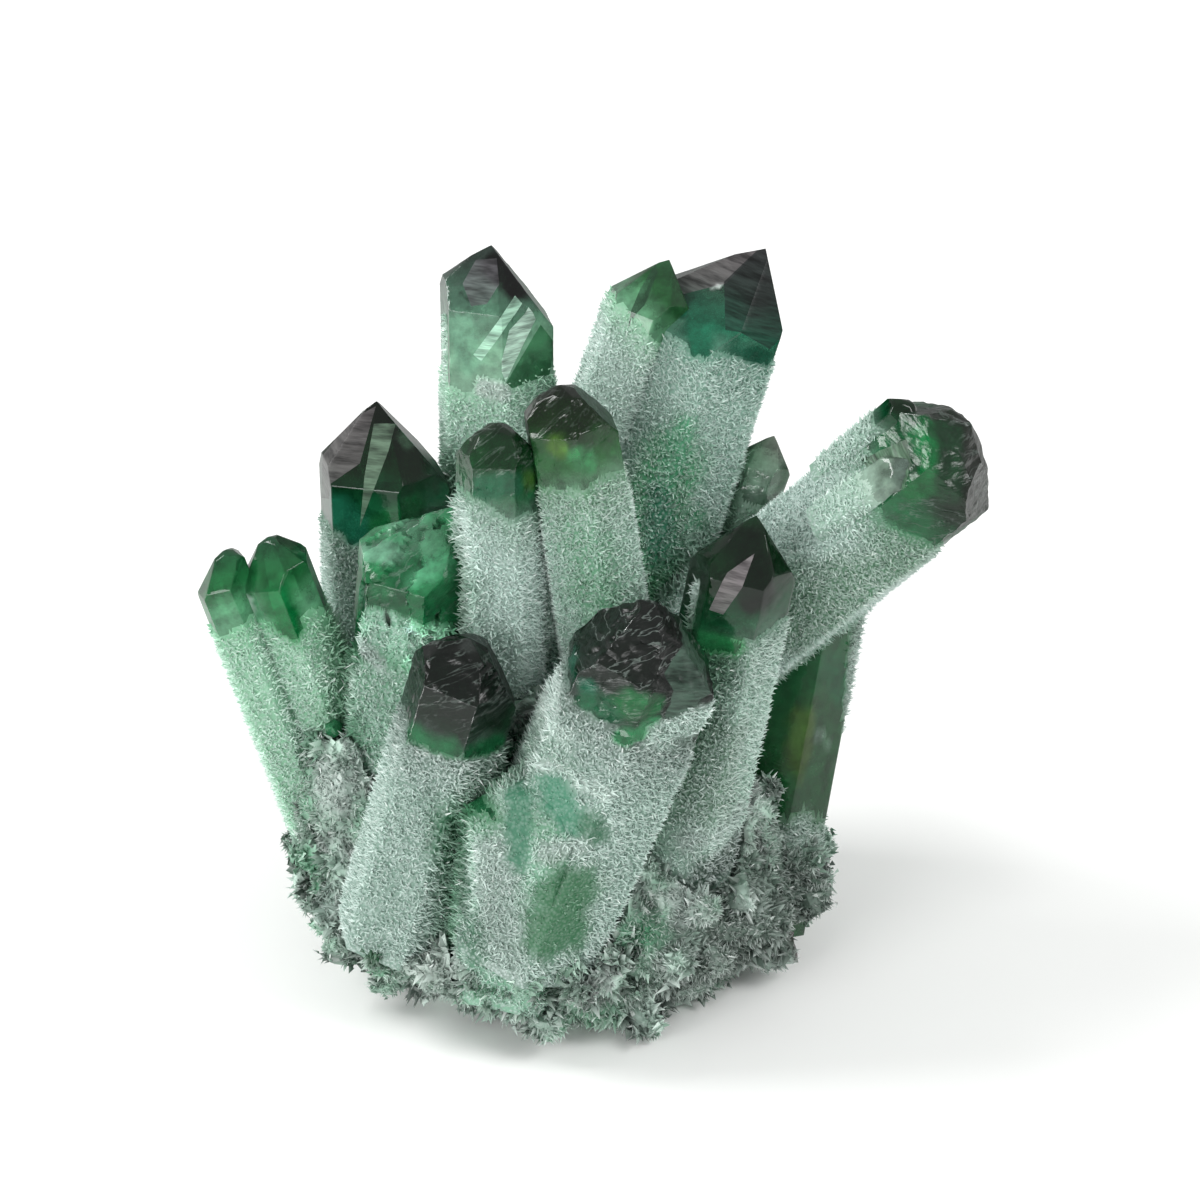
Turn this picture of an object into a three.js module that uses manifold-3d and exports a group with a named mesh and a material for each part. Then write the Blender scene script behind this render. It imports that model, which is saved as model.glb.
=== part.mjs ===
// A cluster of green phantom quartz: stout six-sided crystals, each with a clean dark point above
// a coat of needles, on a crust of small crystals that is cut off flat underneath.
// Millimetres, +Z up, origin on the flat cut. +X is right in the front view and +Y is away from it.
import * as THREE from "three";
import { mergeVertices } from "three/addons/utils/BufferGeometryUtils.js";
import Module from "manifold-3d";

const wasm = await Module();
wasm.setup();

// Driving dimensions
const GAP = 0.35; // between a piece and its neighbour
const COAT = 0.7; // how far the needle coat stands out from a crystal's clean sides
const POINT_TILT = 38; // degrees between the faces of a quartz point and the crystal's axis
const SIDES = 6;
const SET_BACK = 0.05; // share of the width by which every other face of a point lies further out
const SOCKET_DEPTH = 3; // how deep a crystal is rooted in the crust
const SMALLEST_DETAIL = 0.02; // shorter edges than this are closed up after the cuts
const DOME_TILT = 66; // degrees between the flatter faces of a blunt point and the axis
const DOME_TURN = 25; // degrees that those faces are turned from the broad ones
const KNOLL_CRYSTALS = 6; // small crystals on each knoll

const CRUST = {
  centre: [-5, 1.5],
  radii: [34, 32], // along X and Y
  lump: 1.4, // height of the lumps on it
  // Half profile of the hill: share of the radius, height
  profile: [
    [0, 0],
    [0.68, 0],
    [0.84, 3.5],
    [0.97, 9],
    [1, 14],
    [0.94, 20],
    [0.8, 26],
    [0.56, 31.5],
    [0.28, 34.5],
    [0, 36],
  ],
  steps: 32,
};

// Knolls of crust that fill the gaps between the crystals: centre and radii
const KNOLLS = [
  { centre: [-31, -9, 25], radii: [8, 8, 13] },
  { centre: [-9, -16, 31], radii: [9, 6, 13] },
  { centre: [13.5, -10, 22], radii: [8, 8, 11] },
  { centre: [17, 9, 30], radii: [9, 8, 11] },
  { centre: [1, 21, 26], radii: [11, 9, 11] },
  { centre: [-31, 14, 18], radii: [8, 10, 10] },
];

// Larger shards of the crust: tip, root and width
const SHARDS = [
  { tip: [26, -10, 2.5], root: [17, -12, 10], width: 5.5 },
  { tip: [-7, -31.5, 3.2], root: [-6, -25, 8], width: 4.5 },
  { tip: [-41.5, -5, 18.5], root: [-35, -3, 14], width: 3.2 },
  { tip: [-39, -9.5, 10.5], root: [-33, -7, 11], width: 3.4 },
  { tip: [-35.5, -18, 7.5], root: [-29, -13, 10], width: 5.5 },
  { tip: [1.5, -31.5, 16], root: [0, -25, 8], width: 4.6 },
  { tip: [16, -27, 14], root: [12, -22, 9], width: 4 },
  { tip: [21, -19.5, 13], root: [15, -15, 9], width: 4.2 },
];

// Each crystal runs from its foot, inside the crust, to the top of its axis.
// width is across the flat sides, coat; frost is how far below the top the coat ends.
// apex moves the point off the axis, and blunt cuts it off in a dome.
// slope tips the coat's upper edge, rising towards +X and +Y. turn spins the sides about the axis.
const CRYSTALS = {
  front_left_crystal: [
    { top: [-14, -25, 58.5], foot: [-26.5, -21, 13], width: 13.8, frost: 14.5, apex: [-1, 0], blunt: 2.2, turn: 12 },
  ],
  front_right_crystal: [
    {
      top: [8.5, -26, 62], foot: [-10, -25, 14], width: 18.8, frost: 14, apex: [-1.8, 0.5],
      tilts: [52, 50, 46, 31, 47, 50], blunt: 1, turn: 4, slope: [-0.1, 0.1],
    },
    { top: [-7, -30.5, 43], foot: [-11, -22, 9], width: 17.5, frost: 6, blunt: 2.4, turn: 20, slope: [0.3, 0] },
  ],
  right_front_crystal: [
    { top: [19, -14, 68], foot: [9.5, -16.5, 17], width: 12.8, frost: 13, apex: [0, 0], turn: 20, slope: [0.5, 0] },
  ],
  centre_pair: [
    { top: [-4.6, -8, 84.3], foot: [3, -9, 32], width: 12.4, frost: 13, apex: [-0.6, 0], blunt: 1.6, turn: 8 },
    { top: [-12.4, -10, 80], foot: [-12.2, -11, 30], width: 10.8, frost: 11.5, blunt: 1.4, turn: 24, slope: [-0.3, 0] },
  ],
  broken_stub: [
    {
      top: [-22, -9, 66.5], foot: [-26.5, -7, 20], width: 14.8, frost: 19, apex: [4.5, 2],
      tilts: [42, 60, 58, 60, 50, 36], turn: 10, slope: [0.2, -0.2],
    },
  ],
  tall_right_crystal: [
    {
      top: [17.8, 18, 92], foot: [-5, 7, 22], width: 18.6, frost: 13, apex: [3.4, 0],
      tilts: [30, 38, 45, 50, 38, 34], turn: 0, slope: [0.05, 0],
    },
    { top: [8.2, 15.5, 90.5], foot: [-9.5, 8.5, 38], width: 11.4, frost: 9, apex: [0.6, 0], turn: 10, slope: [-0.5, 0] },
  ],
  left_point: [
    { top: [-28, 12, 72.5], foot: [-27.5, 10.5, 10], width: 16.6, frost: 16, apex: [-0.5, 0], turn: 14 },
  ],
  left_twin: [
    { top: [-42, -6, 62], foot: [-27, -5, 14], width: 10, frost: 11, apex: [0.6, 0], blunt: 0.7, turn: 6 },
    { top: [-48.3, -7, 60.5], foot: [-34, -6, 14], width: 8.2, frost: 10, apex: [1.6, 0], blunt: 0.8, turn: 22 },
    { top: [-33.5, -13, 38.5], foot: [-33, -6, 34], width: 3.6, frost: 4, turn: 0 },
  ],
  tall_left_crystal: [
    {
      top: [-13.5, 22, 90], foot: [-13.5, 18.5, 14], width: 15.2, frost: 17, apex: [-0.4, 0],
      tilts: [36, 40, 48, 52, 44, 40], turn: 10, slope: [0.1, 0],
    },
  ],
  leaning_crystal: [
    {
      top: [48.3, -4, 76.5], foot: [8, 4.5, 36], width: 18, frost: 15, apex: [-1.5, 0],
      tilts: [46, 44, 40, 56, 50, 44], blunt: 2.2, turn: 26, slope: [-0.2, 0.3],
    },
    { top: [39.2, -3, 78.6], foot: [28, 0, 66.5], width: 6, frost: 5, blunt: 0.8, turn: 8 },
    { top: [40, -8.5, 73], foot: [28, -5, 62], width: 8, frost: 8, turn: 20 },
  ],
  small_back_crystal: [
    { top: [22.5, 15, 66.5], foot: [8.5, 10, 26], width: 7.8, frost: 8, turn: 16 },
  ],
  right_slab: [
    { top: [28.8, 10, 57.5], foot: [19.5, -3, 4.5], width: 14.6, frost: 10, blunt: 1.2, turn: 18 },
  ],
  back_left_crystal: [
    { top: [-23.5, 29, 50], foot: [-15, 14, 18], width: 12.5, frost: 11, blunt: 0.8, turn: 20 },
  ],
  back_centre_crystal: [
    { top: [-3.5, 36.5, 57.5], foot: [-4, 15, 18], width: 14.5, frost: 13, apex: [1, 0], turn: 5 },
  ],
  back_right_crystal: [
    { top: [20, 32, 45], foot: [8, 15, 16], width: 11.5, frost: 10, blunt: 1, turn: 26 },
  ],
  side_right_crystal: [
    { top: [29, 25, 37], foot: [16, 13, 12], width: 8.6, frost: 8, turn: 12 },
  ],
  side_left_crystal: [
    { top: [-41, 15, 43], foot: [-24, 8, 13], width: 9, frost: 8.5, turn: 28 },
  ],
};

const COLOURS = { crystal: "#6f9c85", crust: "#8aa397" };

/** A generator of repeatable random numbers from 0 to 1. */
function seeded(seed) {
  let state = seed >>> 0;
  return () => {
    state = (state + 0x6d2b79f5) >>> 0;
    let mixed = Math.imul(state ^ (state >>> 15), state | 1);
    mixed ^= mixed + Math.imul(mixed ^ (mixed >>> 7), mixed | 61);
    return ((mixed ^ (mixed >>> 14)) >>> 0) / 4294967296;
  };
}

/** The closed solid that a three.js geometry bounds. */
function solidOf(geometry) {
  const bare = geometry.clone();
  bare.deleteAttribute("normal");
  bare.deleteAttribute("uv");
  const merged = mergeVertices(bare, 1e-4);
  return new wasm.Manifold(
    new wasm.Mesh({
      numProp: 3,
      vertProperties: merged.attributes.position.array,
      triVerts: new Uint32Array(merged.index.array),
    }),
  );
}

/** The three.js geometry of a solid. */
function geometryOf(solid) {
  const mesh = solid.getMesh();
  const geometry = new THREE.BufferGeometry();
  geometry.setAttribute("position", new THREE.BufferAttribute(mesh.vertProperties, 3));
  geometry.setIndex(new THREE.BufferAttribute(mesh.triVerts, 1));
  const flat = geometry.toNonIndexed();
  flat.computeVertexNormals();
  return flat;
}

/** A flat crystal face: its outward direction from azimuth and rise in degrees, and its distance. */
function face(azimuth, rise, distance) {
  const a = THREE.MathUtils.degToRad(azimuth);
  const r = THREE.MathUtils.degToRad(rise);
  const outward = new THREE.Vector3(Math.cos(a) * Math.cos(r), Math.sin(a) * Math.cos(r), Math.sin(r));
  return new THREE.Plane(outward, -distance);
}

/** The face with this outward direction that passes through a point. */
function faceThrough(azimuth, rise, point) {
  const plane = face(azimuth, rise, 0);
  plane.constant = -plane.normal.dot(point);
  return plane;
}

/** The frame of a crystal: its origin at the top of the axis, local +Z along the axis. */
function frameOf(crystal) {
  const top = new THREE.Vector3(...crystal.top);
  const along = top.clone().sub(new THREE.Vector3(...crystal.foot)).normalize();
  const across = new THREE.Vector3(1, 0, 0).addScaledVector(along, -along.x).normalize();
  const away = new THREE.Vector3().crossVectors(along, across);
  return new THREE.Matrix4().makeBasis(across, away, along).setPosition(top);
}

/** The length of a crystal from foot to top. */
function lengthOf(crystal) {
  return new THREE.Vector3(...crystal.top).distanceTo(new THREE.Vector3(...crystal.foot));
}

/** What is left of a block in a crystal's frame after its faces are cut, each moved out by grow. */
function cutBlock(crystal, faces, grow) {
  const frame = frameOf(crystal);
  const length = lengthOf(crystal);
  const span = crystal.width * 3;
  const block = new THREE.BoxGeometry(span, span, length * 2);
  let body = solidOf(block.applyMatrix4(frame));
  for (const plane of faces) {
    const placed = plane.clone();
    placed.constant -= grow;
    placed.applyMatrix4(frame);
    body = body.trimByPlane(placed.normal.clone().negate().toArray(), placed.constant);
  }
  return body;
}

/** The six long sides of a crystal and its foot. No two sides lie at quite the same distance. */
function sideFaces(crystal, halfWidth) {
  const vary = seeded(Math.round(crystal.width * 100) + crystal.turn);
  const faces = [face(0, -90, lengthOf(crystal))];
  for (let side = 0; side < SIDES; side++)
    faces.push(face(crystal.turn + (side * 360) / SIDES, 0, halfWidth * (0.96 + 0.08 * vary())));
  return faces;
}

/** The faces of the point: three broad ones and three set back, and the dome's flatter ring. */
function pointFaces(crystal) {
  const [x, y] = crystal.apex ?? [0, 0];
  const faces = [];
  for (let side = 0; side < SIDES; side++) {
    const tilt = crystal.tilts?.[side] ?? POINT_TILT + (side % 2) * 3;
    const setBack = side % 2 ? SET_BACK * crystal.width : 0;
    faces.push(faceThrough(crystal.turn + (side * 360) / SIDES, tilt, new THREE.Vector3(x, y, setBack)));
    if (!crystal.blunt) continue;
    const lowered = new THREE.Vector3(x, y, -crystal.blunt);
    faces.push(faceThrough(crystal.turn + DOME_TURN + (side * 360) / SIDES, DOME_TILT, lowered));
  }
  return faces;
}

/** The coat's upper edge, a flat slanting end. */
function coatEnd(crystal) {
  const [x, y] = crystal.slope ?? [0, 0];
  const upward = new THREE.Vector3(-x, -y, 1).normalize();
  return new THREE.Plane(upward, crystal.frost * upward.z);
}

/** One crystal: the clean point and sides, and the needle coat around the sides. */
function crystalSolid(crystal, grow = 0) {
  const shaped = { turn: 0, ...crystal };
  const clean = cutBlock(
    shaped,
    [...sideFaces(shaped, shaped.width / 2 - COAT), ...pointFaces(shaped)],
    grow,
  );
  const coat = cutBlock(
    shaped,
    [...sideFaces(shaped, shaped.width / 2), ...pointFaces(shaped), coatEnd(shaped)],
    grow,
  );
  return clean.add(coat);
}

/** Crystals grown together, as one solid. */
function grownTogether(crystals, grow = 0) {
  return crystals.map((crystal) => crystalSolid(crystal, grow)).reduce((whole, one) => whole.add(one));
}

/** The height of the lumps at a place on the crust. */
function lumpAt(x, y, z) {
  const broad = Math.sin(x * 0.23 + 1) * Math.sin(y * 0.27 + 2) + Math.sin(z * 0.35 + x * 0.12);
  const fine = Math.sin(x * 0.71 + y * 0.53) * Math.sin(y * 0.83 - z * 0.6);
  return CRUST.lump * (0.6 * broad + 0.5 * fine);
}

/** The hill of the crust, drawn in from its surface by a share of its size. */
function crustHill(share = 1) {
  const profile = CRUST.profile.map(([radius, height]) => new THREE.Vector2(radius, height));
  const hill = new THREE.LatheGeometry(profile, CRUST.steps).rotateX(Math.PI / 2);
  const place = hill.attributes.position;
  for (let i = 0; i < place.count; i++) {
    const x = place.getX(i) * CRUST.radii[0];
    const y = place.getY(i) * CRUST.radii[1];
    const z = place.getZ(i);
    const spread = Math.hypot(x, y);
    const out = z > 0 && spread > 1 ? lumpAt(x, y, z) / spread : 0;
    place.setXYZ(i, x * (1 + out) * share, y * (1 + out) * share, z * share);
  }
  return solidOf(hill.translate(...CRUST.centre, 0));
}

/** A bare six-sided crystal of the crust, with no coat. */
function bareCrystal(crystal) {
  return cutBlock(crystal, [...sideFaces(crystal, crystal.width / 2), ...pointFaces(crystal)], 0);
}

/** A small crystal of the crust, from a place on the hill in a direction. */
function smallCrystal(place, direction, length, width, turn) {
  const root = place.clone().addScaledVector(direction, -width);
  const tip = place.clone().addScaledVector(direction, length);
  return bareCrystal({ top: tip.toArray(), foot: root.toArray(), width, turn });
}

/** The small crystals that stand out of the hill all round, thinning towards its top. */
function smallCrystals() {
  const random = seeded(17);
  const grown = [];
  const rows = [
    { share: 0.88, height: 5, count: 20, length: 3.4, width: 3.8 },
    { share: 0.99, height: 11, count: 24, length: 4.2, width: 4 },
    { share: 0.97, height: 17.5, count: 20, length: 5, width: 4 },
    { share: 0.84, height: 24, count: 10, length: 4.6, width: 3.8 },
  ];
  for (const row of rows) {
    for (let i = 0; i < row.count; i++) {
      const angle = ((i + 0.8 * random()) / row.count) * Math.PI * 2;
      const height = row.height + 3 * (random() - 0.5);
      const x = Math.cos(angle) * CRUST.radii[0] * row.share;
      const y = Math.sin(angle) * CRUST.radii[1] * row.share;
      const outward = new THREE.Vector3(x, y, 1.1 * (height - 9)).normalize();
      const jitter = new THREE.Vector3(random() - 0.5, random() - 0.5, random() - 0.5);
      const direction = outward.clone().addScaledVector(jitter, 1.3).normalize();
      const place = new THREE.Vector3(x + CRUST.centre[0], y + CRUST.centre[1], height);
      place.addScaledVector(outward, -1);
      const size = 0.6 + 0.8 * random();
      const turn = Math.round(60 * random());
      grown.push(smallCrystal(place, direction, row.length * size, row.width * (0.7 + 0.5 * random()), turn));
    }
  }
  return grown;
}

/** The larger shards that stand out of the hill. */
function shardSolids() {
  return SHARDS.map(({ tip, root, width }, number) =>
    bareCrystal({ top: tip, foot: root, width, turn: 13 * number }),
  );
}

/** A knoll of crust, with lumps, and a few small crystals that point away from it. */
function knollSolids({ centre, radii }, number) {
  const round = new THREE.IcosahedronGeometry(1, 2);
  const place = round.attributes.position;
  for (let i = 0; i < place.count; i++) {
    const at = new THREE.Vector3().fromBufferAttribute(place, i);
    const bulge = 1 + 0.1 * Math.sin(7 * at.x + number) * Math.sin(6 * at.y + 2) + 0.08 * Math.sin(9 * at.z);
    place.setXYZ(i, at.x * bulge * radii[0], at.y * bulge * radii[1], at.z * bulge * radii[2]);
  }
  const solids = [solidOf(round.translate(...centre))];
  const random = seeded(31 + number);
  for (let i = 0; i < KNOLL_CRYSTALS; i++) {
    const direction = new THREE.Vector3(random() - 0.5, random() - 0.5, 0.25 * random() + 0.05).normalize();
    const root = new THREE.Vector3(...radii).multiply(direction).multiplyScalar(0.9);
    root.add(new THREE.Vector3(...centre));
    const length = 3 + 2.5 * random();
    const width = 2.6 + 1.4 * random();
    solids.push(smallCrystal(root, direction, length, width, Math.round(60 * random())));
  }
  return solids;
}

/** The largest separate body of a solid. */
function largestBody(solid) {
  return solid.decompose().reduce((most, one) => (one.volume() > most.volume() ? one : most));
}

/** A named mesh in its own material. */
function piece(name, solid, colour) {
  const material = new THREE.MeshStandardMaterial({ color: colour, roughness: 0.35, metalness: 0 });
  const mesh = new THREE.Mesh(geometryOf(solid.simplify(SMALLEST_DETAIL)), material);
  mesh.name = name;
  return mesh;
}

/** Every crystal, cut back where an earlier one in the list or its socket in the crust leaves no room. */
function crystalPieces() {
  const socketFloor = crustHill(1 - SOCKET_DEPTH / CRUST.radii[1]);
  let taken = socketFloor;
  const pieces = [];
  for (const [name, grown] of Object.entries(CRYSTALS)) {
    pieces.push(piece(name, largestBody(grownTogether(grown).subtract(taken)), COLOURS.crystal));
    taken = taken.add(grownTogether(grown, GAP));
  }
  return pieces;
}

/** The crust: the hill and its small crystals, with a socket for each large crystal. */
function crustPiece() {
  const floor = crustHill(1 - (SOCKET_DEPTH + GAP) / CRUST.radii[1]);
  const roots = Object.values(CRYSTALS)
    .map((grown) => grownTogether(grown, GAP))
    .reduce((whole, one) => whole.add(one))
    .subtract(floor);
  const crust = [...smallCrystals(), ...shardSolids(), ...KNOLLS.flatMap(knollSolids)]
    .reduce((whole, one) => whole.add(one), crustHill())
    .trimByPlane([0, 0, 1], 0)
    .subtract(roots);
  return piece("druse_base", largestBody(crust), COLOURS.crust);
}

const cluster = new THREE.Group();
cluster.add(crustPiece(), ...crystalPieces());

export default cluster;
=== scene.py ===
"""A cluster of green phantom quartz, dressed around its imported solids.

Stout six-sided crystals stand on a crust of small ones. Each has a clear dark point above a coat of
fine needles. The frame is in metres, with +Z up, its origin on the flat cut underneath, +X right in
the front view and +Y away from it. Sizes of the crystals are written in millimetres.
"""
import logging
import math
from collections.abc import Callable, Iterator
from dataclasses import dataclass, field, replace
from enum import Enum, IntEnum

import bmesh
import bpy
import numpy as np
from mathutils import Matrix, Vector, noise
from mathutils.bvhtree import BVHTree


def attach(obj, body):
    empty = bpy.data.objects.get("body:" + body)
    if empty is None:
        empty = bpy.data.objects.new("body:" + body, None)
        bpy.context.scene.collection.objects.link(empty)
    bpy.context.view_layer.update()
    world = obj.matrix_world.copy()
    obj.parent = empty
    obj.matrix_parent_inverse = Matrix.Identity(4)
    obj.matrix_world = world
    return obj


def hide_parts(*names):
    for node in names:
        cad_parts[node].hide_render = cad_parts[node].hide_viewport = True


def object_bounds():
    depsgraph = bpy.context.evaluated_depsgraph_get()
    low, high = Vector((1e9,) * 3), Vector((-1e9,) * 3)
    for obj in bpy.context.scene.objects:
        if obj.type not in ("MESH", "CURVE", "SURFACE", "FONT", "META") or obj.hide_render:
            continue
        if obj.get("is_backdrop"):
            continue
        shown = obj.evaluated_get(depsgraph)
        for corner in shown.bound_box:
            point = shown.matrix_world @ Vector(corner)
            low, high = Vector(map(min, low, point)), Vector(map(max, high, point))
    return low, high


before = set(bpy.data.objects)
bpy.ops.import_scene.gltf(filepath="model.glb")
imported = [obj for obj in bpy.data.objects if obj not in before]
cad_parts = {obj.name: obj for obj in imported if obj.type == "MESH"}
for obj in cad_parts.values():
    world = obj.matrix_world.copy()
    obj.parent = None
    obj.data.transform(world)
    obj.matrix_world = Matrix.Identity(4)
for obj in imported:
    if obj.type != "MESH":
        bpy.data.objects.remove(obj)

CAD_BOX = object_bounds()
LOG = logging.getLogger("cluster")

Triple = tuple[float, float, float]
Pair = tuple[float, float]

MM = 0.001  # metres in a millimetre
COAT = 0.7  # how far the needle coat stands out from a crystal's clean sides
GAP = 0.35  # between a crystal's coat and its neighbours
POINT_TILT = 38.0  # degrees between the faces of a quartz point and the crystal's axis
SIDES = 6
DOME_TILT = 66.0  # degrees between the flatter faces of a blunt point and the axis
DOME_TURN = 25.0  # degrees that those faces are turned from the broad ones
SET_BACK = 0.05  # share of the width by which every other face of a point lies further out
EDGE_ROUND = 0.12  # wear along the edges of a point
POINT_GRAIN = 0.8  # longest edge of the mesh on a point
BODY_GRAIN = 2.4  # longest edge of the mesh under the needles
FADE = 2.2  # how far below its edge the coat of needles grows dense
CROWDED = 5.0  # painted shade, a deeper green, shows between the needles where another crystal stands nearer than this
BARE = 0.12  # the stone is bare glass where the coat is thinner than this share
MOST_TRIANGLES = 195_000  # in one piece
MOST_DIVISIONS = 9  # rounds in which a mesh is divided
BLOCK_WIDTHS = 3.0  # size of the block that a crystal is cut from, in its widths
BLOCK_LENGTHS = 2.2  # and in its lengths
MERGED = 0.02  # corners of a cut crystal nearer than this are one
SHORT_EDGE = 0.8  # shorter edges of a point aren't worn
SIDE_SPREAD = 0.08  # share of the width by which the sides' distances from the axis differ
OTHER_TILT = 3.0  # degrees by which every other face of a point is flatter
FACET_REACH = 9.0  # a facet's surface lies nearer than this to its middle
FACET_FACING = 0.6  # least cosine between a facet's direction and its surface's
FACET_COLOUR_SHARE = 0.8  # of a facet's own colour in what shows, on most facets a painted reflection
GAP_SHADE_SHARE = 0.6  # of the painted shade green between two crystals in the stone's colour
SHADED_COVER = 0.7  # share of the frost's pale grains that is lost against another crystal: painted shade
ETCHED_ABOVE = 0.35  # share of the point above which it is fully etched
SHARP_ANGLE = 22.0  # degrees between faces above which their edge stays sharp
BOX_MARGIN = 0.05  # between a needle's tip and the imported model's box
CREEP_TOP = 24.0  # the crust climbs the crystals below this height
CREEP_EDGE = 12.0  # and mostly below this one

# MAUVE, SLATE and MOSS are painted reflections on facets of the points
MAUVE = "#474445"  # painted reflection on a dark face
SLATE = "#141919"
MOSS = "#4d5f50"
JADE = "#107a3f"
TEAL = "#1f6e52"
COAL = "#050806"
GAP_SHADE_GREEN = "#226a40"  # painted shade: the stone's deeper green between two crystals


def linear(code: str) -> np.ndarray:
    """Turn an sRGB hex colour to linear light.

    Args:
        code: The colour, such as "#7d9c8c".

    Returns:
        Red, green and blue in linear light.
    """
    parts = np.array([int(code[i : i + 2], 16) / 255 for i in (1, 3, 5)])
    return np.where(parts <= 0.04045, parts / 12.92, ((parts + 0.055) / 1.055) ** 2.4)


def rgba(code: str) -> tuple[float, float, float, float]:
    """Return an sRGB hex colour as a linear socket value with full alpha."""
    return (*linear(code), 1.0)


def add_node(
    tree: bpy.types.NodeTree, kind: str, inputs: dict | None = None, **settings: object
) -> bpy.types.Node:
    """Add a shader node with its settings, values and links.

    Args:
        tree: The tree that gets the node.
        kind: The node's type without its ShaderNode, such as "Mix".
        inputs: For each input, by name or number, a value or the output socket that it is linked to.
        **settings: The node's own properties.

    Returns:
        The new node.
    """
    made = tree.nodes.new(f"ShaderNode{kind}")
    for key, value in settings.items():
        setattr(made, key, value)
    for socket, value in (inputs or {}).items():
        if isinstance(value, bpy.types.NodeSocket):
            tree.links.new(value, made.inputs[socket])
        else:
            made.inputs[socket].default_value = value
    return made


def new_material(name: str) -> tuple[bpy.types.Material, bpy.types.NodeTree, bpy.types.Node]:
    """Make an empty node material.

    Args:
        name: The material's name.

    Returns:
        The material, its node tree and its output node.
    """
    made = bpy.data.materials.new(name)
    made.use_nodes = True
    tree = made.node_tree
    tree.nodes.clear()
    return made, tree, tree.nodes.new("ShaderNodeOutputMaterial")


def repeatable(seed: int) -> Iterator[float]:
    """Yield the same endless row of numbers from 0 to 1 for a seed.

    Args:
        seed: Any whole number.

    Yields:
        The next number.
    """
    mask = 0xFFFFFFFF
    state = seed & mask
    while True:
        state = (state + 0x6D2B79F5) & mask
        mixed = ((state ^ (state >> 15)) * (state | 1)) & mask
        mixed ^= (mixed + (((mixed ^ (mixed >> 7)) * (mixed | 61)) & mask)) & mask
        yield ((mixed ^ (mixed >> 14)) & mask) / 4294967296


def smooth_step(values: np.ndarray, low: float, high: float) -> np.ndarray:
    """Rise smoothly from 0 at low to 1 at high."""
    share = np.clip((values - low) / (high - low), 0, 1)
    return share * share * (3 - 2 * share)


def noise_at(places: np.ndarray, wavelength: float, seed: float = 0.0) -> np.ndarray:
    """Sample smooth noise.

    Args:
        places: Points in millimetres, one a row.
        wavelength: The size of the noise's lumps in millimetres.
        seed: Moves the noise along, so that two uses differ.

    Returns:
        A value from about -1 to 1 for each point.
    """
    scaled = places / wavelength + seed
    return np.array([noise.noise(Vector(place)) for place in scaled])


@dataclass(frozen=True)
class Ripple:
    """Smooth noise with a name for its use.

    Attributes:
        height: How far it swings to either side of nothing.
        wavelength: The size of its lumps in millimetres.
        seed: Moves it along, so that two uses differ.
    """

    height: float
    wavelength: float
    seed: float = 0.0

    def at(self, places: np.ndarray) -> np.ndarray:
        """Return its value at places in millimetres."""
        return self.height * noise_at(places, self.wavelength, self.seed)


EDGE_BROAD = Ripple(1.3, 4, 7)  # how raggedly the coat ends
EDGE_FINE = Ripple(0.8, 1.3)
PALE_SPOTS = Ripple(0.9, 9, 3)  # where the coat is whiter
CRUST_BROAD = Ripple(0.9, 7, 2)  # the crust's greens and greys
CRUST_NARROW = Ripple(1.3, 2.4, 9)  # its dark hollows
CRUST_LIGHT = Ripple(0.8, 4, 5)  # where its blades are silver
FUR_AREAS = Ripple(1.0, 6, 11)  # where it has needles, and blades elsewhere
FUR_EDGES = Ripple(0.3, 1.5)
CREEP_BROAD = Ripple(6.0, 7, 4)  # how raggedly the crust ends on the crystals
CREEP_FINE = Ripple(2.0, 2)


class Seed(IntEnum):
    """Where the chance of each kind of growth starts. The crystals' coats count on from theirs."""

    BLADES = 5
    CRUST_FUR = 6
    CREEP = 7
    COATS = 100


def cut_off(bm: bmesh.types.BMesh, normal: Vector, distance: float) -> None:
    """Cut away what lies beyond a plane, and close the cut.

    Args:
        bm: A closed body.
        normal: The plane's direction, away from what is kept.
        distance: How far the plane lies from the origin along it.
    """
    bmesh.ops.bisect_plane(
        bm,
        geom=bm.verts[:] + bm.edges[:] + bm.faces[:],
        dist=1e-4,
        plane_co=normal * distance,
        plane_no=normal,
        clear_outer=True,
    )
    bmesh.ops.holes_fill(bm, edges=[edge for edge in bm.edges if edge.is_boundary], sides=0)


def refine(bm: bmesh.types.BMesh, limit_at: Callable[[Vector], float]) -> None:
    """Divide the mesh until no edge is longer than its limit.

    Args:
        bm: The mesh.
        limit_at: A function from an edge's middle to the longest that the edge may be.
    """
    bmesh.ops.triangulate(bm, faces=bm.faces)
    for _ in range(MOST_DIVISIONS):
        long = [
            edge
            for edge in bm.edges
            if edge.calc_length() > limit_at((edge.verts[0].co + edge.verts[1].co) / 2)
        ]
        if not long:
            return
        bmesh.ops.subdivide_edges(bm, edges=long, cuts=1)
        bmesh.ops.triangulate(bm, faces=[face for face in bm.faces if len(face.verts) > 3])


def set_attribute(mesh: bpy.types.Mesh, name: str, kind: str, domain: str, values: np.ndarray) -> None:
    """Store an attribute on a mesh.

    Args:
        mesh: The mesh.
        name: The attribute's name.
        kind: "FLOAT", "FLOAT_VECTOR" or "FLOAT_COLOR".
        domain: "POINT" or "CORNER".
        values: One number, vector or row of red, green and blue for each element.
    """
    attribute = mesh.attributes.new(name, kind, domain)
    if kind != "FLOAT_COLOR":
        key = "value" if kind == "FLOAT" else "vector"
        attribute.data.foreach_set(key, values.astype(np.float32).ravel())
        return
    colours = np.ones((len(values), 4), np.float32)
    colours[:, :3] = values
    attribute.data.foreach_set("color", colours.ravel())


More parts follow.
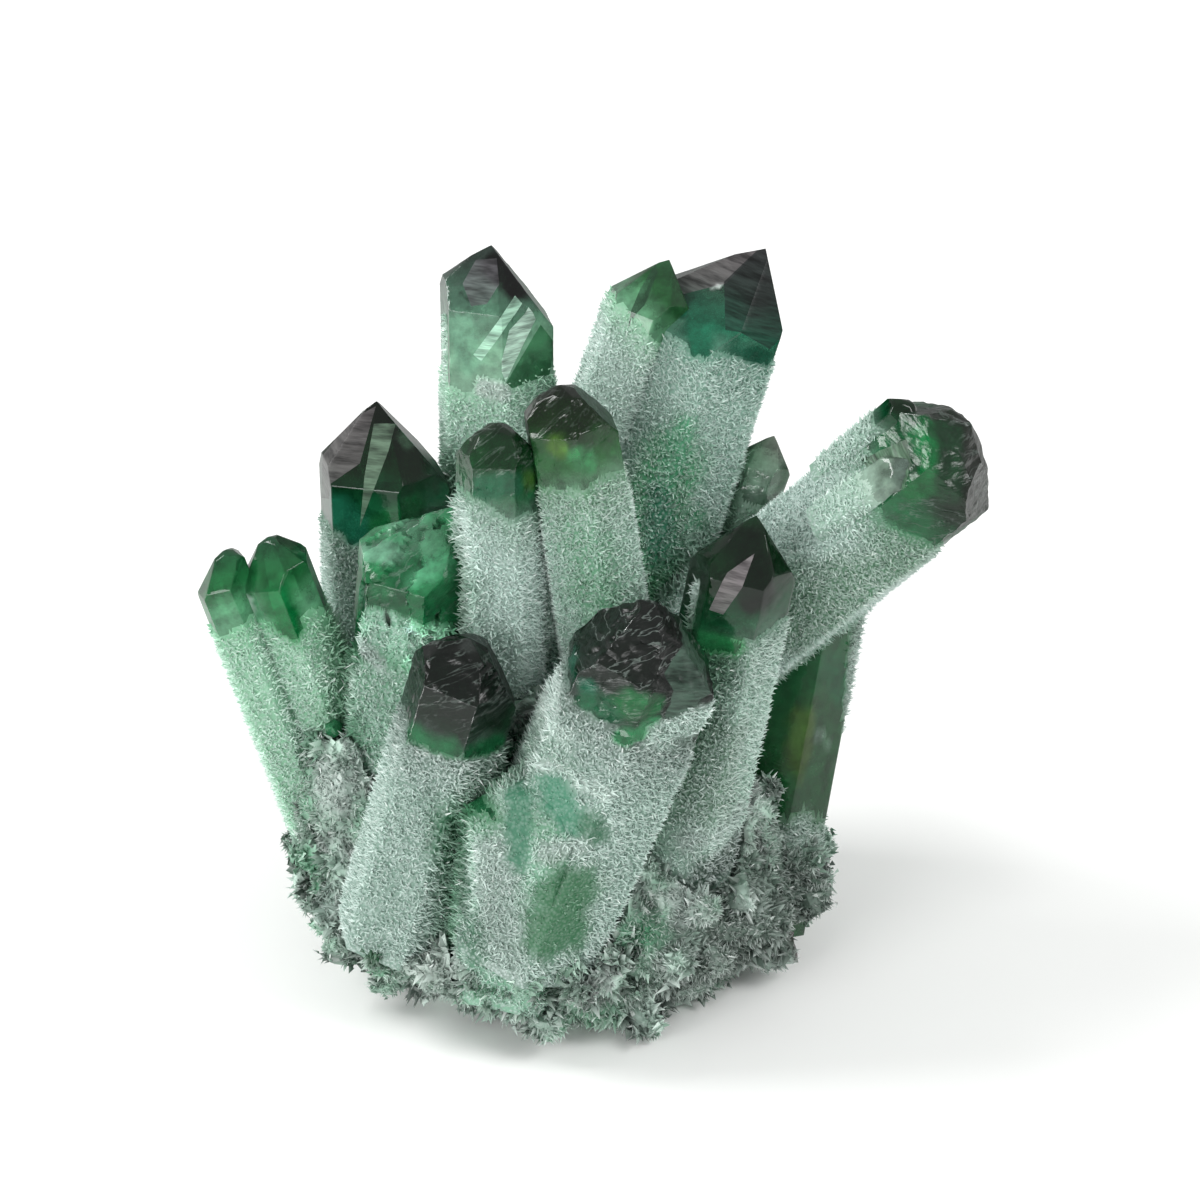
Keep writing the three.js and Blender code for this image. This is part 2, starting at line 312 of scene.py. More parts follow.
def place_piece(name: str, mesh: bpy.types.Mesh, slot: str, *nodes: str) -> bpy.types.Object:
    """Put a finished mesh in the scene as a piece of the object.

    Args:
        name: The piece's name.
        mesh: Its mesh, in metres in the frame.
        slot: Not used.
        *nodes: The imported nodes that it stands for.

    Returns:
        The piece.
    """
    piece = bpy.data.objects.new(name, mesh)
    bpy.context.scene.collection.objects.link(piece)
    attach(piece, "root")
    if nodes:
        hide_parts(*nodes)
    LOG.info("%s: %d faces", name, len(mesh.polygons))
    return piece


def triangles_of(mesh: bpy.types.Mesh) -> tuple[np.ndarray, np.ndarray]:
    """Read a mesh's triangles.

    Args:
        mesh: The mesh, in metres.

    Returns:
        The corners in millimetres, as an array of triangles, and the polygon that each comes from.
    """
    mesh.calc_loop_triangles()
    corners = np.empty(len(mesh.loop_triangles) * 3, np.int32)
    mesh.loop_triangles.foreach_get("vertices", corners)
    polygons = np.empty(len(mesh.loop_triangles), np.int32)
    mesh.loop_triangles.foreach_get("polygon_index", polygons)
    places = np.empty(len(mesh.vertices) * 3, np.float32)
    mesh.vertices.foreach_get("co", places)
    return places.reshape(-1, 3)[corners].reshape(-1, 3, 3).astype(float) / MM, polygons


def scatter(triangles: np.ndarray, per_area: float, random: np.random.Generator) -> tuple[np.ndarray, ...]:
    """Scatter points evenly over triangles.

    Args:
        triangles: Their corners in millimetres.
        per_area: Points on a square millimetre.
        random: Where the chance comes from.

    Returns:
        The points and the surface's direction at each.
    """
    crossed = np.cross(triangles[:, 1] - triangles[:, 0], triangles[:, 2] - triangles[:, 0])
    doubled = np.linalg.norm(crossed, axis=1)
    count = int(doubled.sum() / 2 * per_area)
    chosen = random.choice(len(triangles), size=count, p=doubled / doubled.sum())
    first = np.sqrt(random.random(count))[:, None]
    second = random.random(count)[:, None]
    a, b, c = (triangles[chosen, corner] for corner in range(3))
    places = (1 - first) * a + first * (1 - second) * b + first * second * c
    return places, crossed[chosen] / doubled[chosen, None]


def across_pair(directions: np.ndarray) -> tuple[np.ndarray, np.ndarray]:
    """Find the directions across each given one.

    Args:
        directions: Unit directions, one a row.

    Returns:
        Two unit directions for each, square to it and to each other.
    """
    helper = np.where(np.abs(directions[:, 2:3]) < 0.9, [[0.0, 0.0, 1.0]], [[1.0, 0.0, 0.0]])
    first = np.cross(directions, helper)
    first /= np.linalg.norm(first, axis=1)[:, None]
    return first, np.cross(directions, first)


@dataclass
class Spikes:
    """Many spikes of one form, joined in one mesh.

    Attributes:
        sides: The number of a spike's sides.
        flatness: A spike's thickness as a share of its width.
        parts: The rows of each batch: foot, direction, length, radius, foot colour and tip colour.
    """

    sides: int = 3
    flatness: float = 1.0
    parts: list[tuple[np.ndarray, ...]] = field(default_factory=list)

    def form(self) -> tuple[np.ndarray, np.ndarray]:
        """Model one spike, a cone of unit radius and length.

        Returns:
            Its points, and the corners of its triangles.
        """
        bm = bmesh.new()
        bmesh.ops.create_cone(
            bm,
            cap_ends=True,
            segments=self.sides,
            radius1=1,
            radius2=0,
            depth=1,
            matrix=Matrix.Translation((0, 0, 0.5)),
        )
        bmesh.ops.remove_doubles(bm, verts=bm.verts, dist=1e-4)
        bmesh.ops.triangulate(bm, faces=bm.faces)
        bmesh.ops.recalc_face_normals(bm, faces=bm.faces)
        points = np.array([vert.co[:] for vert in bm.verts])
        corners = np.array([[vert.index for vert in face.verts] for face in bm.faces])
        bm.free()
        return points, corners

    def grow(
        self,
        feet: np.ndarray,
        directions: np.ndarray,
        lengths: np.ndarray,
        radii: np.ndarray,
        foot_colours: np.ndarray,
        tip_colours: np.ndarray,
    ) -> None:
        """Add a batch of spikes.

        Args:
            feet: Where each spike stands, in millimetres.
            directions: The unit direction of each.
            lengths: The length of each.
            radii: The radius of each at its foot.
            foot_colours: The linear colour of each at its foot.
            tip_colours: The linear colour of each at its tip.
        """
        self.parts.append((feet, directions, lengths, radii, foot_colours, tip_colours))

    def mesh(self, name: str, material: bpy.types.Material, random: np.random.Generator) -> bpy.types.Mesh:
        """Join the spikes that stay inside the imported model's box.

        Args:
            name: The mesh's name.
            material: The finish of all of them.
            random: Where the turn of each about its own axis comes from.

        Returns:
            The mesh, in metres.
        """
        feet, directions, lengths, radii, foot_colours, tip_colours = (
            np.concatenate(rows) for rows in zip(*self.parts)
        )
        tips = (feet + directions * lengths[:, None]) * MM
        low, high = (np.array(corner) for corner in CAD_BOX)
        margin = BOX_MARGIN * MM
        inside = np.all((tips > low + margin) & (tips < high - margin), axis=1)
        inside &= feet[:, 2] - radii > BOX_MARGIN
        points, corners = self.form()
        most = MOST_TRIANGLES // len(corners)
        kept = np.flatnonzero(inside)
        if len(kept) > most:
            kept = np.sort(random.choice(kept, most, replace=False))
        feet, directions, lengths, radii, foot_colours, tip_colours = (
            rows[kept] for rows in (feet, directions, lengths, radii, foot_colours, tip_colours)
        )
        first, second = across_pair(directions)
        turn = random.random(len(kept))[:, None] * math.tau
        wide = np.cos(turn) * first + np.sin(turn) * second
        thin = (np.cos(turn) * second - np.sin(turn) * first) * self.flatness
        places = (
            feet[:, None]
            + points[None, :, 0:1] * (wide * radii[:, None])[:, None]
            + points[None, :, 1:2] * (thin * radii[:, None])[:, None]
            + points[None, :, 2:3] * (directions * lengths[:, None])[:, None]
        )
        rows = corners[None] + (np.arange(len(kept)) * len(points))[:, None, None]
        share = points[None, :, 2:3]
        colours = foot_colours[:, None] * (1 - share) + tip_colours[:, None] * share
        made = bpy.data.meshes.new(name)
        made.vertices.add(places.shape[0] * places.shape[1])
        made.vertices.foreach_set("co", (places * MM).astype(np.float32).ravel())
        made.loops.add(rows.size)
        made.loops.foreach_set("vertex_index", rows.astype(np.int32).ravel())
        made.polygons.add(rows.size // 3)
        made.polygons.foreach_set("loop_start", np.arange(0, rows.size, 3, dtype=np.int32))
        made.update(calc_edges=True)
        made.shade_flat()
        made.materials.append(material)
        set_attribute(made, "tone", "FLOAT_COLOR", "POINT", colours.reshape(-1, 3))
        return made


@dataclass(frozen=True)
class ClearQuartz:
    """Clear green quartz, grown in water, with natural glassy faces.

    The glass lets the eye into the stone, where the chlorite's green deepens to black at the point.
    Its faces are smooth. Their gloss is well under that of the real stone, because few faces of the
    cluster mirror a lamp. Where they are etched, wavy silver lines run across the axis: painted sheen
    on the etched crests. The colour darkens where a face turns away from the eye: painted shade.
    """

    ior: float = 1.544
    gloss: float = 0.12
    polish: float = 0.05
    etched_roughness: float = 0.34
    edge_blur: float = 0.35  # more roughness where a face turns away from the eye
    transmission: float = 0.52
    absorbed: str = "#3f8f64"
    density: float = 60.0
    silver: str = "#8d9b94"  # painted sheen along the etched lines
    mottle: float = 2.2  # millimetres across a cloud of chlorite
    mottle_relief: float = 0.3  # millimetres that its bump seems to rise
    line_relief: float = 0.6  # millimetres that the lines seem to rise
    line_rise: float = 1.1  # millimetres between etched lines, along the axis
    line_length: float = 5.0  # millimetres that a line runs before it breaks
    line_slant: float = 0.6  # radians by which the lines climb across the crystal

    def make(self) -> bpy.types.Material:
        """Build the material.

        Returns:
            The material. It reads the attributes stone, etch, streaks and own.
        """
        material, tree, output = new_material("clear_grown_quartz")
        stone = add_node(tree, "Attribute", attribute_name="stone").outputs["Color"]
        etch = add_node(tree, "Attribute", attribute_name="etch").outputs["Fac"]
        streaks = add_node(tree, "Attribute", attribute_name="streaks").outputs["Fac"]
        own = add_node(tree, "Attribute", attribute_name="own").outputs["Vector"]
        mottle = add_node(
            tree, "TexNoise", {"Vector": own, "Scale": 1 / self.mottle, "Detail": 4.0, "Roughness": 0.65}
        )
        shade = add_node(
            tree,
            "MapRange",
            {"Value": mottle.outputs["Fac"], "From Min": 0.3, "From Max": 0.7, "To Min": 0.5, "To Max": 1.4},
        )
        facing = add_node(tree, "LayerWeight", {"Blend": 0.4}).outputs["Facing"]
        # The colour darkens where a face turns away from the eye: painted shade at the outlines
        painted_edge_shade = add_node(
            tree,
            "MapRange",
            {"Value": facing, "From Min": 0.2, "From Max": 0.9, "To Min": 1.0, "To Max": 0.45},
        )
        shaded = add_node(
            tree, "Math", {0: shade.outputs["Result"], 1: painted_edge_shade.outputs["Result"]}, operation="MULTIPLY"
        )
        mottled_and_edge_shaded = add_node(tree, "VectorMath", {0: stone, "Scale": shaded.outputs[0]}, operation="SCALE")
        slanted = add_node(
            tree, "VectorRotate", {"Vector": own, "Angle": self.line_slant}, rotation_type="Y_AXIS"
        )
        squeeze = (1 / self.line_length, 1 / self.line_length, 1 / self.line_rise)
        stretched = add_node(
            tree, "VectorMath", {0: slanted.outputs["Vector"], 1: squeeze}, operation="MULTIPLY"
        )
        lines = add_node(
            tree,
            "TexNoise",
            {"Vector": stretched.outputs["Vector"], "Scale": 1.0, "Detail": 4.0, "Distortion": 0.3},
        )
        # Pale silver lines along the crests of the etching, mixed into the colour: painted sheen
        from_crest = add_node(tree, "Math", {0: lines.outputs["Fac"], 1: 0.54}, operation="SUBTRACT")
        away = add_node(tree, "Math", {0: from_crest.outputs[0]}, operation="ABSOLUTE")
        crest = add_node(
            tree,
            "MapRange",
            {"Value": away.outputs[0], "From Min": 0.0, "From Max": 0.02, "To Min": 0.7, "To Max": 0.0},
        )
        silver = add_node(tree, "Math", {0: crest.outputs[0], 1: streaks}, operation="MULTIPLY")
        # Sockets 6 and 7 of a Mix node take colours, and its output 2 gives one
        colour = add_node(
            tree, "Mix", {0: silver.outputs[0], 6: mottled_and_edge_shaded.outputs["Vector"], 7: rgba(self.silver)},
            data_type="RGBA",
        )
        roughness = add_node(
            tree,
            "MapRange",
            {"Value": etch, "To Min": self.polish, "To Max": self.etched_roughness},
        )
        blurred = add_node(
            tree,
            "MapRange",
            {"Value": facing, "From Min": 0.55, "From Max": 0.9, "To Min": 0.0, "To Max": self.edge_blur},
        )
        rough = add_node(
            tree, "Math", {0: roughness.outputs["Result"], 1: blurred.outputs["Result"]}, operation="ADD"
        )
        swell = add_node(
            tree,
            "Bump",
            {"Height": mottle.outputs["Fac"], "Strength": 0.1, "Distance": self.mottle_relief * MM},
        )
        deep = add_node(
            tree,
            "Bump",
            {
                "Height": lines.outputs["Fac"],
                "Strength": etch,
                "Distance": self.line_relief * MM,
                "Normal": swell.outputs[0],
            },
        )
        shader = add_node(
            tree,
            "BsdfPrincipled",
            {
                "Base Color": colour.outputs[2],
                "Roughness": rough.outputs[0],
                "IOR": self.ior,
                "Specular IOR Level": self.gloss,
                "Transmission Weight": self.transmission,
                "Normal": deep.outputs[0],
            },
        )
        inside = add_node(tree, "VolumeAbsorption", {"Color": rgba(self.absorbed), "Density": self.density})
        tree.links.new(shader.outputs[0], output.inputs["Surface"])
        tree.links.new(inside.outputs[0], output.inputs["Volume"])
        return material


@dataclass(frozen=True)
class ReflectionPaintedQuartz:
    """Faces of a point with a painted reflection, an even grey over the dark stone."""

    ior: float = 1.544
    roughness: float = 0.35
    gloss: float = 0.15
    line_spacing: float = 0.35  # millimetres between growth lines, drawn coarse enough to show
    line_relief: float = 0.2  # millimetres that they seem to rise
    line_lean: Triple = (0.0, 0.7, 0.3)  # radians by which they lean off the crystal's axes

    def make(self) -> bpy.types.Material:
        """Build the material.

        Returns:
            The material. It reads the attributes stone and own.
        """
        material, tree, output = new_material("reflection_painted_quartz")
        stone = add_node(tree, "Attribute", attribute_name="stone").outputs["Color"]
        own = add_node(tree, "Attribute", attribute_name="own").outputs["Vector"]
        leaning = add_node(
            tree, "Mapping", {"Vector": own, "Rotation": self.line_lean, "Scale": (0.12, 0.12, 1.0)}
        )
        lines = add_node(
            tree,
            "TexNoise",
            {"Vector": leaning.outputs[0], "Scale": 0.5 / self.line_spacing, "Detail": 3.0, "Roughness": 0.7},
        )
        shade = add_node(
            tree,
            "MapRange",
            {"Value": lines.outputs["Fac"], "From Min": 0.35, "From Max": 0.65, "To Min": 0.4, "To Max": 1.6},
        )
        lined = add_node(
            tree, "VectorMath", {0: stone, "Scale": shade.outputs["Result"]}, operation="SCALE"
        )
        bump = add_node(
            tree, "Bump", {"Height": lines.outputs["Fac"], "Strength": 0.5, "Distance": self.line_relief * MM}
        )
        shader = add_node(
            tree,
            "BsdfPrincipled",
            {
                "Base Color": lined.outputs["Vector"],
                "Roughness": self.roughness,
                "IOR": self.ior,
                "Specular IOR Level": self.gloss,
                "Normal": bump.outputs[0],
            },
        )
        tree.links.new(shader.outputs[0], output.inputs["Surface"])
        return material


@dataclass(frozen=True)
class FrostedQuartz:
    """The crystals' sides under the needles: quartz with a rough grown skin, which glows pale green.

    Its grains are the tips of the shortest needles, too small to be modelled one by one.
    """

    ior: float = 1.544
    roughness: float = 0.5
    transmission: float = 0.15
    grain: float = 0.42  # millimetres across a grain of the skin, drawn coarse enough to show
    grain_tip: str = "#c3d3ce"
    relief: float = 0.3  # millimetres that the grains seem to rise

    def make(self) -> bpy.types.Material:
        """Build the material.

        Returns:
            The material. It reads the attributes stone and cover.
        """
        material, tree, output = new_material("frosted_quartz")
        stone = add_node(tree, "Attribute", attribute_name="stone").outputs["Color"]
        place = add_node(tree, "TexCoord").outputs["Object"]
        cover = add_node(tree, "Attribute", attribute_name="cover").outputs["Fac"]
        grains = add_node(tree, "TexVoronoi", {"Vector": place, "Scale": 1 / (self.grain * MM)})
        tip = add_node(
            tree,
            "MapRange",
            {
                "Value": grains.outputs["Distance"],
                "From Min": 0.1,
                "From Max": 0.7,
                "To Min": 0.9,
                "To Max": 0.0,
            },
        )
        silver = add_node(tree, "Math", {0: tip.outputs["Result"], 1: cover}, operation="MULTIPLY")
        dark = add_node(tree, "VectorMath", {0: stone, "Scale": 0.9}, operation="SCALE")
        # Sockets 6 and 7 of a Mix node take colours, and its output 2 gives one
        grained = add_node(
            tree, "Mix", {0: silver.outputs[0], 6: dark.outputs["Vector"], 7: rgba(self.grain_tip)},
            data_type="RGBA",
        )
        bump = add_node(
            tree, "Bump", {"Height": silver.outputs[0], "Strength": 0.7, "Distance": self.relief * MM}
        )
        shader = add_node(
            tree,
            "BsdfPrincipled",
            {
                "Base Color": grained.outputs[2],
                "Roughness": self.roughness,
                "IOR": self.ior,
                "Transmission Weight": self.transmission,
                "Normal": bump.outputs[0],
            },
        )
        tree.links.new(shader.outputs[0], output.inputs["Surface"])
        return material


@dataclass(frozen=True)
class NeedleQuartz:
    """Quartz needles too thin to look clear: together they are a silvery sparkling fur."""

    name: str = "quartz_needles"
    ior: float = 1.544
    roughness: float = 0.4
    transmission: float = 0.1

    def make(self) -> bpy.types.Material:
        """Build the material.

        Returns:
            The material. It reads the attribute tone.
        """
        material, tree, output = new_material(self.name)
        tone = add_node(tree, "Attribute", attribute_name="tone").outputs["Color"]
        shader = add_node(
            tree,
            "BsdfPrincipled",
            {
                "Base Color": tone,
                "Roughness": self.roughness,
                "IOR": self.ior,
                "Transmission Weight": self.transmission,
            },
        )
        tree.links.new(shader.outputs[0], output.inputs["Surface"])
        return material


@dataclass(frozen=True)
class Tints:
    """The stone's colours from the top of a crystal down, as sRGB hex.

    Attributes:
        apex: At the very top.
        middle: Half-way down the clear point.
        window: Just above the coat's edge.
        body: Under the needles.
    """

    apex: str
    middle: str
    window: str
    body: str

    def at(self, share: np.ndarray) -> np.ndarray:
        """Blend the colours.

        Args:
            share: The height at each place: 1 at the top, 0 at the coat's edge, less below it.

        Returns:
            A linear colour for each place.
        """
        stops = [-0.6, -0.05, 0.2, 0.55, 1.0]
        codes = (self.apex, self.middle, self.window, self.body)
        apex, middle, window, body = (linear(code) for code in codes)
        colours = [body, 0.6 * window + 0.4 * body, window, middle, apex]
        return np.stack([np.interp(share, stops, [c[part] for c in colours]) for part in range(3)], 1)


class Depth(Enum):
    """How the green deepens in a crystal's point."""

    BLACK = Tints("#040906", "#06120a", "#0a2414", "#7c9a8c")
    NIGHT = Tints("#0c140d", "#08240f", "#0f5232", "#8fae9f")
    FOREST = Tints("#10301a", "#06260f", "#0f5230", "#86a896")
    OLIVE = Tints("#080f06", "#0e2c0b", "#2a7038", "#8fb3a0")
    SPARKLE = Tints("#0f2011", "#12401f", "#1f6a3e", "#a9c2b8")
    EMERALD = Tints("#4a9a6c", "#13653a", "#15693c", "#82b398")
    SMOKE = Tints("#3f383b", "#2a3a31", "#1f6e52", "#8fb3a3")
    FERN = Tints("#2f5a3a", "#2a6036", "#6fae84", "#9ab5a8")
    LEAF = Tints("#25553a", "#1f6a3a", "#62a87c", "#84b797")
    MIST = Tints("#262829", "#56806a", "#8fc3a2", "#8fb5a0")
    BARK = Tints("#231d1a", "#112c1a", "#1b6e40", "#97b0a6")
    PALE = Tints("#8a8f86", "#7f9a86", "#9ab5a4", "#8fb19f")
    SLAB = Tints("#3a6a48", "#12401f", "#0f3d1c", "#245c34")


@dataclass(frozen=True)
class Patch:
    """A soft-edged spot of the stone, round or drawn out between two ends, in millimetres.

    Attributes:
        start: One end.
        reach: How far it spreads from the line between its ends.
        colour: The stone's colour there, if it has one of its own.
        cover: How dense the needles are there, from 0 to 1, if it isn't as elsewhere.
        end: The other end.
        longer: By what share the needles are longer there.
    """

    start: Triple
    reach: float
    colour: str = ""
    cover: float | None = None
    end: Triple | None = None
    longer: float = 0.0

    def weight(self, places: np.ndarray) -> np.ndarray:
        """Find how much of the patch each place has.

        Args:
            places: Points in millimetres.

        Returns:
            From 0 to 1 for each.
        """
        first = np.array(self.start)
        along = np.array(self.end or self.start) - first
        share = np.clip(((places - first) @ along) / max(along @ along, 1e-9), 0, 1)
        distance = np.linalg.norm(places - first - share[:, None] * along, axis=1)
        near = distance < self.reach * 2
        weights = np.zeros(len(places))
        if near.any():
            rough = noise_at(places[near], 0.5 + 0.5 * self.reach, self.reach)
            ragged = distance[near] + 0.35 * self.reach * rough
            weights[near] = 1 - smooth_step(ragged, 0.55 * self.reach, 1.3 * self.reach)
        return weights


@dataclass(frozen=True)
class Facet:
    """A small flat face with straight edges and a painted reflection, unless it is bare glass.

    Attributes:
        corners: Its corners in order, in millimetres.
        colour: The colour of the painted reflection, or of the stone where it has none.
        clear: Whether it is bare glass, without the painted reflection.
    """

    corners: tuple[Triple, ...]
    colour: str
    clear: bool = False

    @classmethod
    def bounded(cls, colour: str, *corners: Triple, clear: bool = False) -> "Facet":
        """Make a face from its corners.

        Args:
            colour: The colour of the painted reflection, or of the stone where it has none.
            *corners: Its corners in order, in millimetres.
            clear: Whether it is bare glass, without the painted reflection.

        Returns:
            The face.
        """
        return cls(corners, colour, clear)

    def upright(self) -> Vector:
        """Find the direction square to the face.

        Returns:
            The unit direction, towards either side.
        """
        corners = [Vector(corner) for corner in self.corners]
        middle = sum(corners, Vector()) / len(corners)
        turns = ((a - middle).cross(b - middle) for a, b in zip(corners, corners[1:] + corners[:1]))
        return sum(turns, Vector()).normalized()

    def edge_planes(self) -> list[tuple[Vector, Vector]]:
        """List the planes through its edges, square to the face.

        Returns:
            A point on each plane, and the plane's direction, away from the face.
        """
        corners = [Vector(corner) for corner in self.corners]
        middle = sum(corners, Vector()) / len(corners)
        upright = self.upright()
        planes = []
        for a, b in zip(corners, corners[1:] + corners[:1]):
            outward = (b - a).cross(upright).normalized()
            planes.append((a, outward if outward.dot(a - middle) > 0 else -outward))
        return planes

    def holds(self, places: np.ndarray, normals: np.ndarray) -> np.ndarray:
        """Find which parts of a crystal's surface belong to the face.

        Args:
            places: Points of the surface, in millimetres.
            normals: The surface's direction at each.

        Returns:
            Whether each lies within the face's edges and faces nearly the same way.
        """
        away = np.linalg.norm(places - np.mean(self.corners, 0), axis=1)
        facing = normals @ np.array(self.upright())
        same_way = facing * np.sign(facing[away.argmin()]) > FACET_FACING
        inside = (away < FACET_REACH) & same_way
        for point, outward in self.edge_planes():
            inside &= (places - np.array(point)) @ np.array(outward) < 1e-3
        return inside


@dataclass(frozen=True)
class Crystal:
    """One six-sided crystal with its point. Lengths are in millimetres and angles in degrees.

    Attributes:
        top: The end of the axis.
        foot: The other end, inside the crust.
        width: Across the flat sides, coat included.
        frost: How far below the top the coat of needles ends.
        depth: The colours.
        apex: How far the point lies off the axis.
        blunt: How far a dome cuts the point down.
        tilts: The tilt of each face of the point, where they aren't the usual ones.
        turn: How far the sides are turned about the axis.
        slope: How the coat's edge rises towards +X and +Y.
        etch: How deeply the point is etched, from 0 to 1.
        cover: How dense the needles are, from 0 to 1.
        patches: Spots of another colour or another cover.
        facets: Small faces with a painted reflection, or bare glass.
        broken: How deep the blocks of a broken point are stepped; where set, the stepped-back blocks also get
            painted shade.
    """

    top: Triple
    foot: Triple
    width: float
    frost: float
    depth: Depth = Depth.NIGHT
    apex: Pair = (0.0, 0.0)
    blunt: float = 0.0
    tilts: tuple[float, ...] = ()
    turn: int = 0
    slope: Pair = (0.0, 0.0)
    etch: float = 0.0
    cover: float = 1.0
    patches: tuple[Patch, ...] = ()
    facets: tuple[Facet, ...] = ()
    broken: float = 0.0

    def own_frame(self) -> Matrix:
        """Find the crystal's own frame.

        Returns:
            The matrix from it to millimetres in the row's frame. It has its origin at the top and its
            +Z along the axis.
        """
        top = Vector(self.top)
        along = (top - Vector(self.foot)).normalized()
        across = (Vector((1, 0, 0)) - along * along.x).normalized()
        away = along.cross(across)
        made = Matrix((across, away, along)).transposed().to_4x4()
        made.translation = top
        return made

    def length(self) -> float:
        """Return the length from foot to top."""
        return (Vector(self.top) - Vector(self.foot)).length

    def direction(self, azimuth: float, rise: float) -> Vector:
        """Return the outward direction of a face in the own frame, from its azimuth and rise."""
        a, r = math.radians(azimuth), math.radians(rise)
        return Vector((math.cos(a) * math.cos(r), math.sin(a) * math.cos(r), math.sin(r)))

    def side_planes(self, half_width: float) -> list[tuple[Vector, float]]:
        """List the foot and the six long sides, none at quite the same distance.

        Args:
            half_width: The distance of the sides from the axis.

        Returns:
            The direction and distance of each plane.
        """
        vary = repeatable(round(self.width * 100) + self.turn)
        planes = [(Vector((0, 0, -1)), self.length())]
        for side in range(SIDES):
            outward = self.direction(self.turn + side * 60, 0)
            planes.append((outward, half_width * (1 - SIDE_SPREAD / 2 + SIDE_SPREAD * next(vary))))
        return planes

    def point_planes(self) -> list[tuple[Vector, float]]:
        """List the faces of the point, and the flatter ones that make a blunt one.

        Returns:
            The direction and distance of each plane.
        """
        x, y = self.apex
        planes = []
        for side in range(SIDES):
            odd = side % 2
            tilt = self.tilts[side] if self.tilts else POINT_TILT + odd * OTHER_TILT
            outward = self.direction(self.turn + side * 60, tilt)
            planes.append((outward, outward.dot(Vector((x, y, odd * SET_BACK * self.width)))))
            if self.blunt:
                outward = self.direction(self.turn + DOME_TURN + side * 60, DOME_TILT)
                planes.append((outward, outward.dot(Vector((x, y, -self.blunt)))))
        return planes

    def own_places(self, places: np.ndarray) -> np.ndarray:
        """Turn places in millimetres in the row's frame to the crystal's own frame."""
        turned = np.array(self.own_frame().to_3x3())
        return (places - np.array(self.top)) @ turned

    def reach(self, places: np.ndarray, half_width: float) -> np.ndarray:
        """Measure how far places lie outside the crystal.

        Args:
            places: Points in millimetres in the row's frame.
            half_width: The distance of the crystal's sides from its axis.

        Returns:
            The distance beyond the furthest face of each, less than 0 inside.
        """
        planes = [*self.side_planes(half_width), *self.point_planes()]
        normals = np.array([normal[:] for normal, _ in planes])
        distances = np.array([distance for _, distance in planes])
        return (self.own_places(places) @ normals.T - distances).max(1)

    def above_coat(self, own: np.ndarray) -> np.ndarray:
        """Return how far places in the own frame lie above the coat's edge."""
        return own[:, 2] + self.frost - own[:, 0] * self.slope[0] - own[:, 1] * self.slope[1]

    def cover_at(self, places: np.ndarray) -> np.ndarray:
        """Find how dense the needles are.

        Args:
            places: Points in millimetres in the row's frame.

        Returns:
            From 0 to 1 for each.
        """
        height = self.above_coat(self.own_places(places))
        ragged = height + EDGE_FINE.at(places) + EDGE_BROAD.at(places)
        thin = 0.35 * smooth_step(noise_at(places, 11, self.width), 0.0, 0.5)
        cover = self.cover * (1 - thin) * (1 - smooth_step(ragged, -FADE, 1.0))
        for patch in self.patches:
            if patch.cover is not None:
                weight = patch.weight(places)
                cover = cover * (1 - weight) + patch.cover * weight
        return cover

    def colour_at(self, places: np.ndarray) -> np.ndarray:
        """Colour the stone.

        Args:
            places: Points in millimetres in the row's frame.

        Returns:
            The linear colour at each.
        """
        share = self.above_coat(self.own_places(places)) / self.frost
        colour = self.depth.value.at(share + 0.1 * noise_at(places, 4, self.width))
        for patch in self.patches:
            if patch.colour:
                weight = patch.weight(places)[:, None]
                colour = colour * (1 - weight) + linear(patch.colour) * weight
        # Blocks stepped further back, and the cracks between them, are painted darker and those further out
        # lighter: painted shade and light
        if self.broken:
            own = self.own_places(places)
            back = np.array([self.block_at(Vector(place)) for place in own])
            back = np.where(own[:, 2] > -self.frost, back, 0.5)[:, None]
            colour = colour * (1.3 - 0.8 * back)
        return colour

    def body(self) -> bmesh.types.BMesh:
        """Cut the clean crystal from a block, wear its edges and divide it finely.

        Returns:
            The crystal in its own frame, in millimetres.
        """
        bm = bmesh.new()
        bmesh.ops.create_cube(bm, size=1)
        across = self.width * BLOCK_WIDTHS
        bmesh.ops.scale(bm, verts=bm.verts, vec=(across, across, self.length() * BLOCK_LENGTHS))
        for normal, distance in [*self.side_planes(self.width / 2 - COAT), *self.point_planes()]:
            cut_off(bm, normal, distance)
        bmesh.ops.remove_doubles(bm, verts=bm.verts, dist=MERGED)
        bmesh.ops.dissolve_degenerate(bm, edges=bm.edges, dist=MERGED)
        worn = [
            edge
            for edge in bm.edges
            if edge.is_manifold
            and edge.calc_length() > SHORT_EDGE
            and max(vert.co.z for vert in edge.verts) > -self.frost - 2
        ]
        bmesh.ops.bevel(
            bm,
            geom=worn,
            offset=EDGE_ROUND,
            offset_type="OFFSET",
            affect="EDGES",
            segments=2,
            profile=0.5,
            material=-1,
            clamp_overlap=True,
        )
        into_own = self.own_frame().inverted()
        for facet in self.facets:
            for point, outward in facet.edge_planes():
                bmesh.ops.bisect_plane(
                    bm,
                    geom=bm.verts[:] + bm.edges[:] + bm.faces[:],
                    dist=1e-3,
                    plane_co=into_own @ point,
                    plane_no=into_own.to_3x3() @ outward,
                )
        grain = POINT_GRAIN - 0.15 * self.etch
        refine(bm, lambda middle: grain if middle.z > -self.frost - 4 else BODY_GRAIN)
        bmesh.ops.recalc_face_normals(bm, faces=bm.faces)
        return bm

